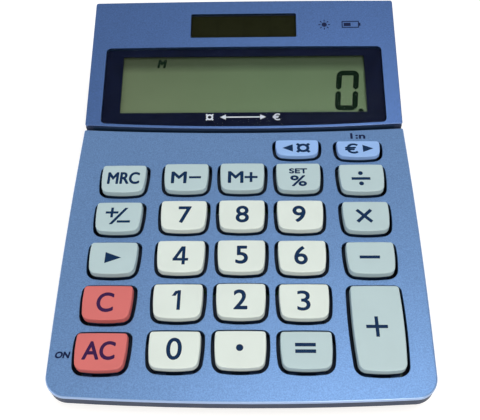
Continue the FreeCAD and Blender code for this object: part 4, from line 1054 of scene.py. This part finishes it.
class CALCULATOR_OT_studio(Operator):
    """Set up the camera, the soft lamps and the pale floor"""

    bl_idname = "calculator.studio"
    bl_label = "Studio"

    def execute(self, context):
        studio = context.scene.calculator_studio
        self.camera(context, studio)
        for name, (place, size, tint) in LAMPS.items():
            self.lamp(context, name, place, size, tint, getattr(studio, name))
        self.world(context, studio)
        self.floor(studio)
        context.scene.view_settings.view_transform = "Standard"
        return {"FINISHED"}

    def camera(self, context, studio):
        camera = bpy.data.cameras.new("camera")
        camera.sensor_width = SENSOR_WIDTH
        camera.lens = studio.lens
        camera.clip_start = 0.005
        eye = bpy.data.objects.new("camera", camera)
        context.scene.collection.objects.link(eye)
        tilt = Matrix.Rotation(math.pi / 2 - studio.pitch, 4, "X")
        turn = Matrix.Rotation(studio.yaw, 4, "Y")
        roll = Matrix.Rotation(studio.roll, 4, "Z")
        eye.matrix_world = Matrix.Translation(studio.eye) @ tilt @ turn @ roll
        context.scene.camera = eye

    def lamp(self, context, name, place, size, tint, power):
        light = bpy.data.lights.new(name, "AREA")
        light.color = tint
        light.shape = "DISK"
        light.size = size
        light.energy = power
        holder = bpy.data.objects.new(name, light)
        context.scene.collection.objects.link(holder)
        aim = -Vector(place)
        holder.rotation_euler = aim.to_track_quat("-Z", "Y").to_euler()
        holder.location = place

    def seen_directly(self, tree):
        """1 for rays that show the background: from the camera, in a mirror or through glass."""
        path = tree.nodes.new("ShaderNodeLightPath")
        total = path.outputs["Is Camera Ray"]
        for ray in ("Is Glossy Ray", "Is Transmission Ray"):
            node = tree.nodes.new("ShaderNodeMath")
            node.operation = "MAXIMUM"
            tree.links.new(total, node.inputs[0])
            tree.links.new(path.outputs[ray], node.inputs[1])
            total = node.outputs["Value"]
        return total

    def world(self, context, studio):
        world = bpy.data.worlds.new("studio")
        world.use_nodes = True
        tree = world.node_tree
        even = tree.nodes["Background"]
        even.inputs["Color"].default_value = (1.0, 1.0, 1.0, 1.0)
        level = tree.nodes.new("ShaderNodeMapRange")
        level.inputs["To Min"].default_value = studio.sky_level
        level.inputs["To Max"].default_value = 1.0
        tree.links.new(self.seen_directly(tree), level.inputs["Value"])
        tree.links.new(level.outputs["Result"], even.inputs["Strength"])
        context.scene.world = world

    def floor(self, studio):
        bm = bmesh.new()
        bmesh.ops.create_grid(bm, x_segments=1, y_segments=1, size=FLOOR_REACH)
        mesh = bpy.data.meshes.new("floor")
        bm.to_mesh(mesh)
        bm.free()
        material = bpy.data.materials.new("floor_paper")
        material.use_nodes = True
        tree = material.node_tree
        paper = tree.nodes["Principled BSDF"]
        shade = studio.floor_shade
        paper.inputs["Base Color"].default_value = (shade, shade, shade, 1.0)
        paper.inputs["Roughness"].default_value = 0.9
        paper.inputs["Emission Color"].default_value = (1.0, 1.0, 1.0, 1.0)
        level = tree.nodes.new("ShaderNodeMath")
        level.operation = "MULTIPLY"
        level.inputs[1].default_value = FLOOR_GLOW
        tree.links.new(self.seen_directly(tree), level.inputs[0])
        tree.links.new(level.outputs["Value"], paper.inputs["Emission Strength"])
        mesh.materials.append(material)
        floor = bpy.data.objects.new("floor", mesh)
        bpy.context.scene.collection.objects.link(floor)


SETTINGS = {
    "calculator_colours": CalculatorColours,
    "calculator_print": CalculatorPrint,
    "calculator_studio": CalculatorStudio,
}
STEPS = (
    CALCULATOR_OT_case,
    CALCULATOR_OT_plates,
    CALCULATOR_OT_keys,
    CALCULATOR_OT_legends,
    CALCULATOR_OT_plate_print,
    CALCULATOR_OT_display,
    CALCULATOR_OT_segments,
    CALCULATOR_OT_inner_parts,
    CALCULATOR_OT_studio,
)


class CALCULATOR_PT_panel(Panel):
    """Lists the steps that dress the calculator, and their settings"""

    bl_idname = "CALCULATOR_PT_panel"
    bl_label = "Calculator"
    bl_space_type = "VIEW_3D"
    bl_region_type = "UI"
    bl_category = "Calculator"

    def draw(self, context):
        for step in STEPS:
            self.layout.operator(step.bl_idname)
        for name in SETTINGS:
            settings = getattr(context.scene, name)
            box = self.layout.box()
            for setting in settings.bl_rna.properties:
                if setting.identifier not in ("name", "rna_type"):
                    box.prop(settings, setting.identifier)


CLASSES = (*SETTINGS.values(), *STEPS, CALCULATOR_PT_panel)


def register():
    for entry in CLASSES:
        bpy.utils.register_class(entry)
    for name, settings in SETTINGS.items():
        setattr(bpy.types.Scene, name, PointerProperty(type=settings))


def unregister():
    for name in SETTINGS:
        delattr(bpy.types.Scene, name)
    for entry in reversed(CLASSES):
        bpy.utils.unregister_class(entry)


def main():
    register()
    bpy.ops.calculator.case()
    bpy.ops.calculator.plates()
    bpy.ops.calculator.keys()
    bpy.ops.calculator.legends()
    bpy.ops.calculator.plate_print()
    bpy.ops.calculator.display()
    bpy.ops.calculator.segments()
    bpy.ops.calculator.inner_parts()
    bpy.ops.calculator.studio()
    bpy.context.view_layer.update()


if __name__ == "__main__":
    main()
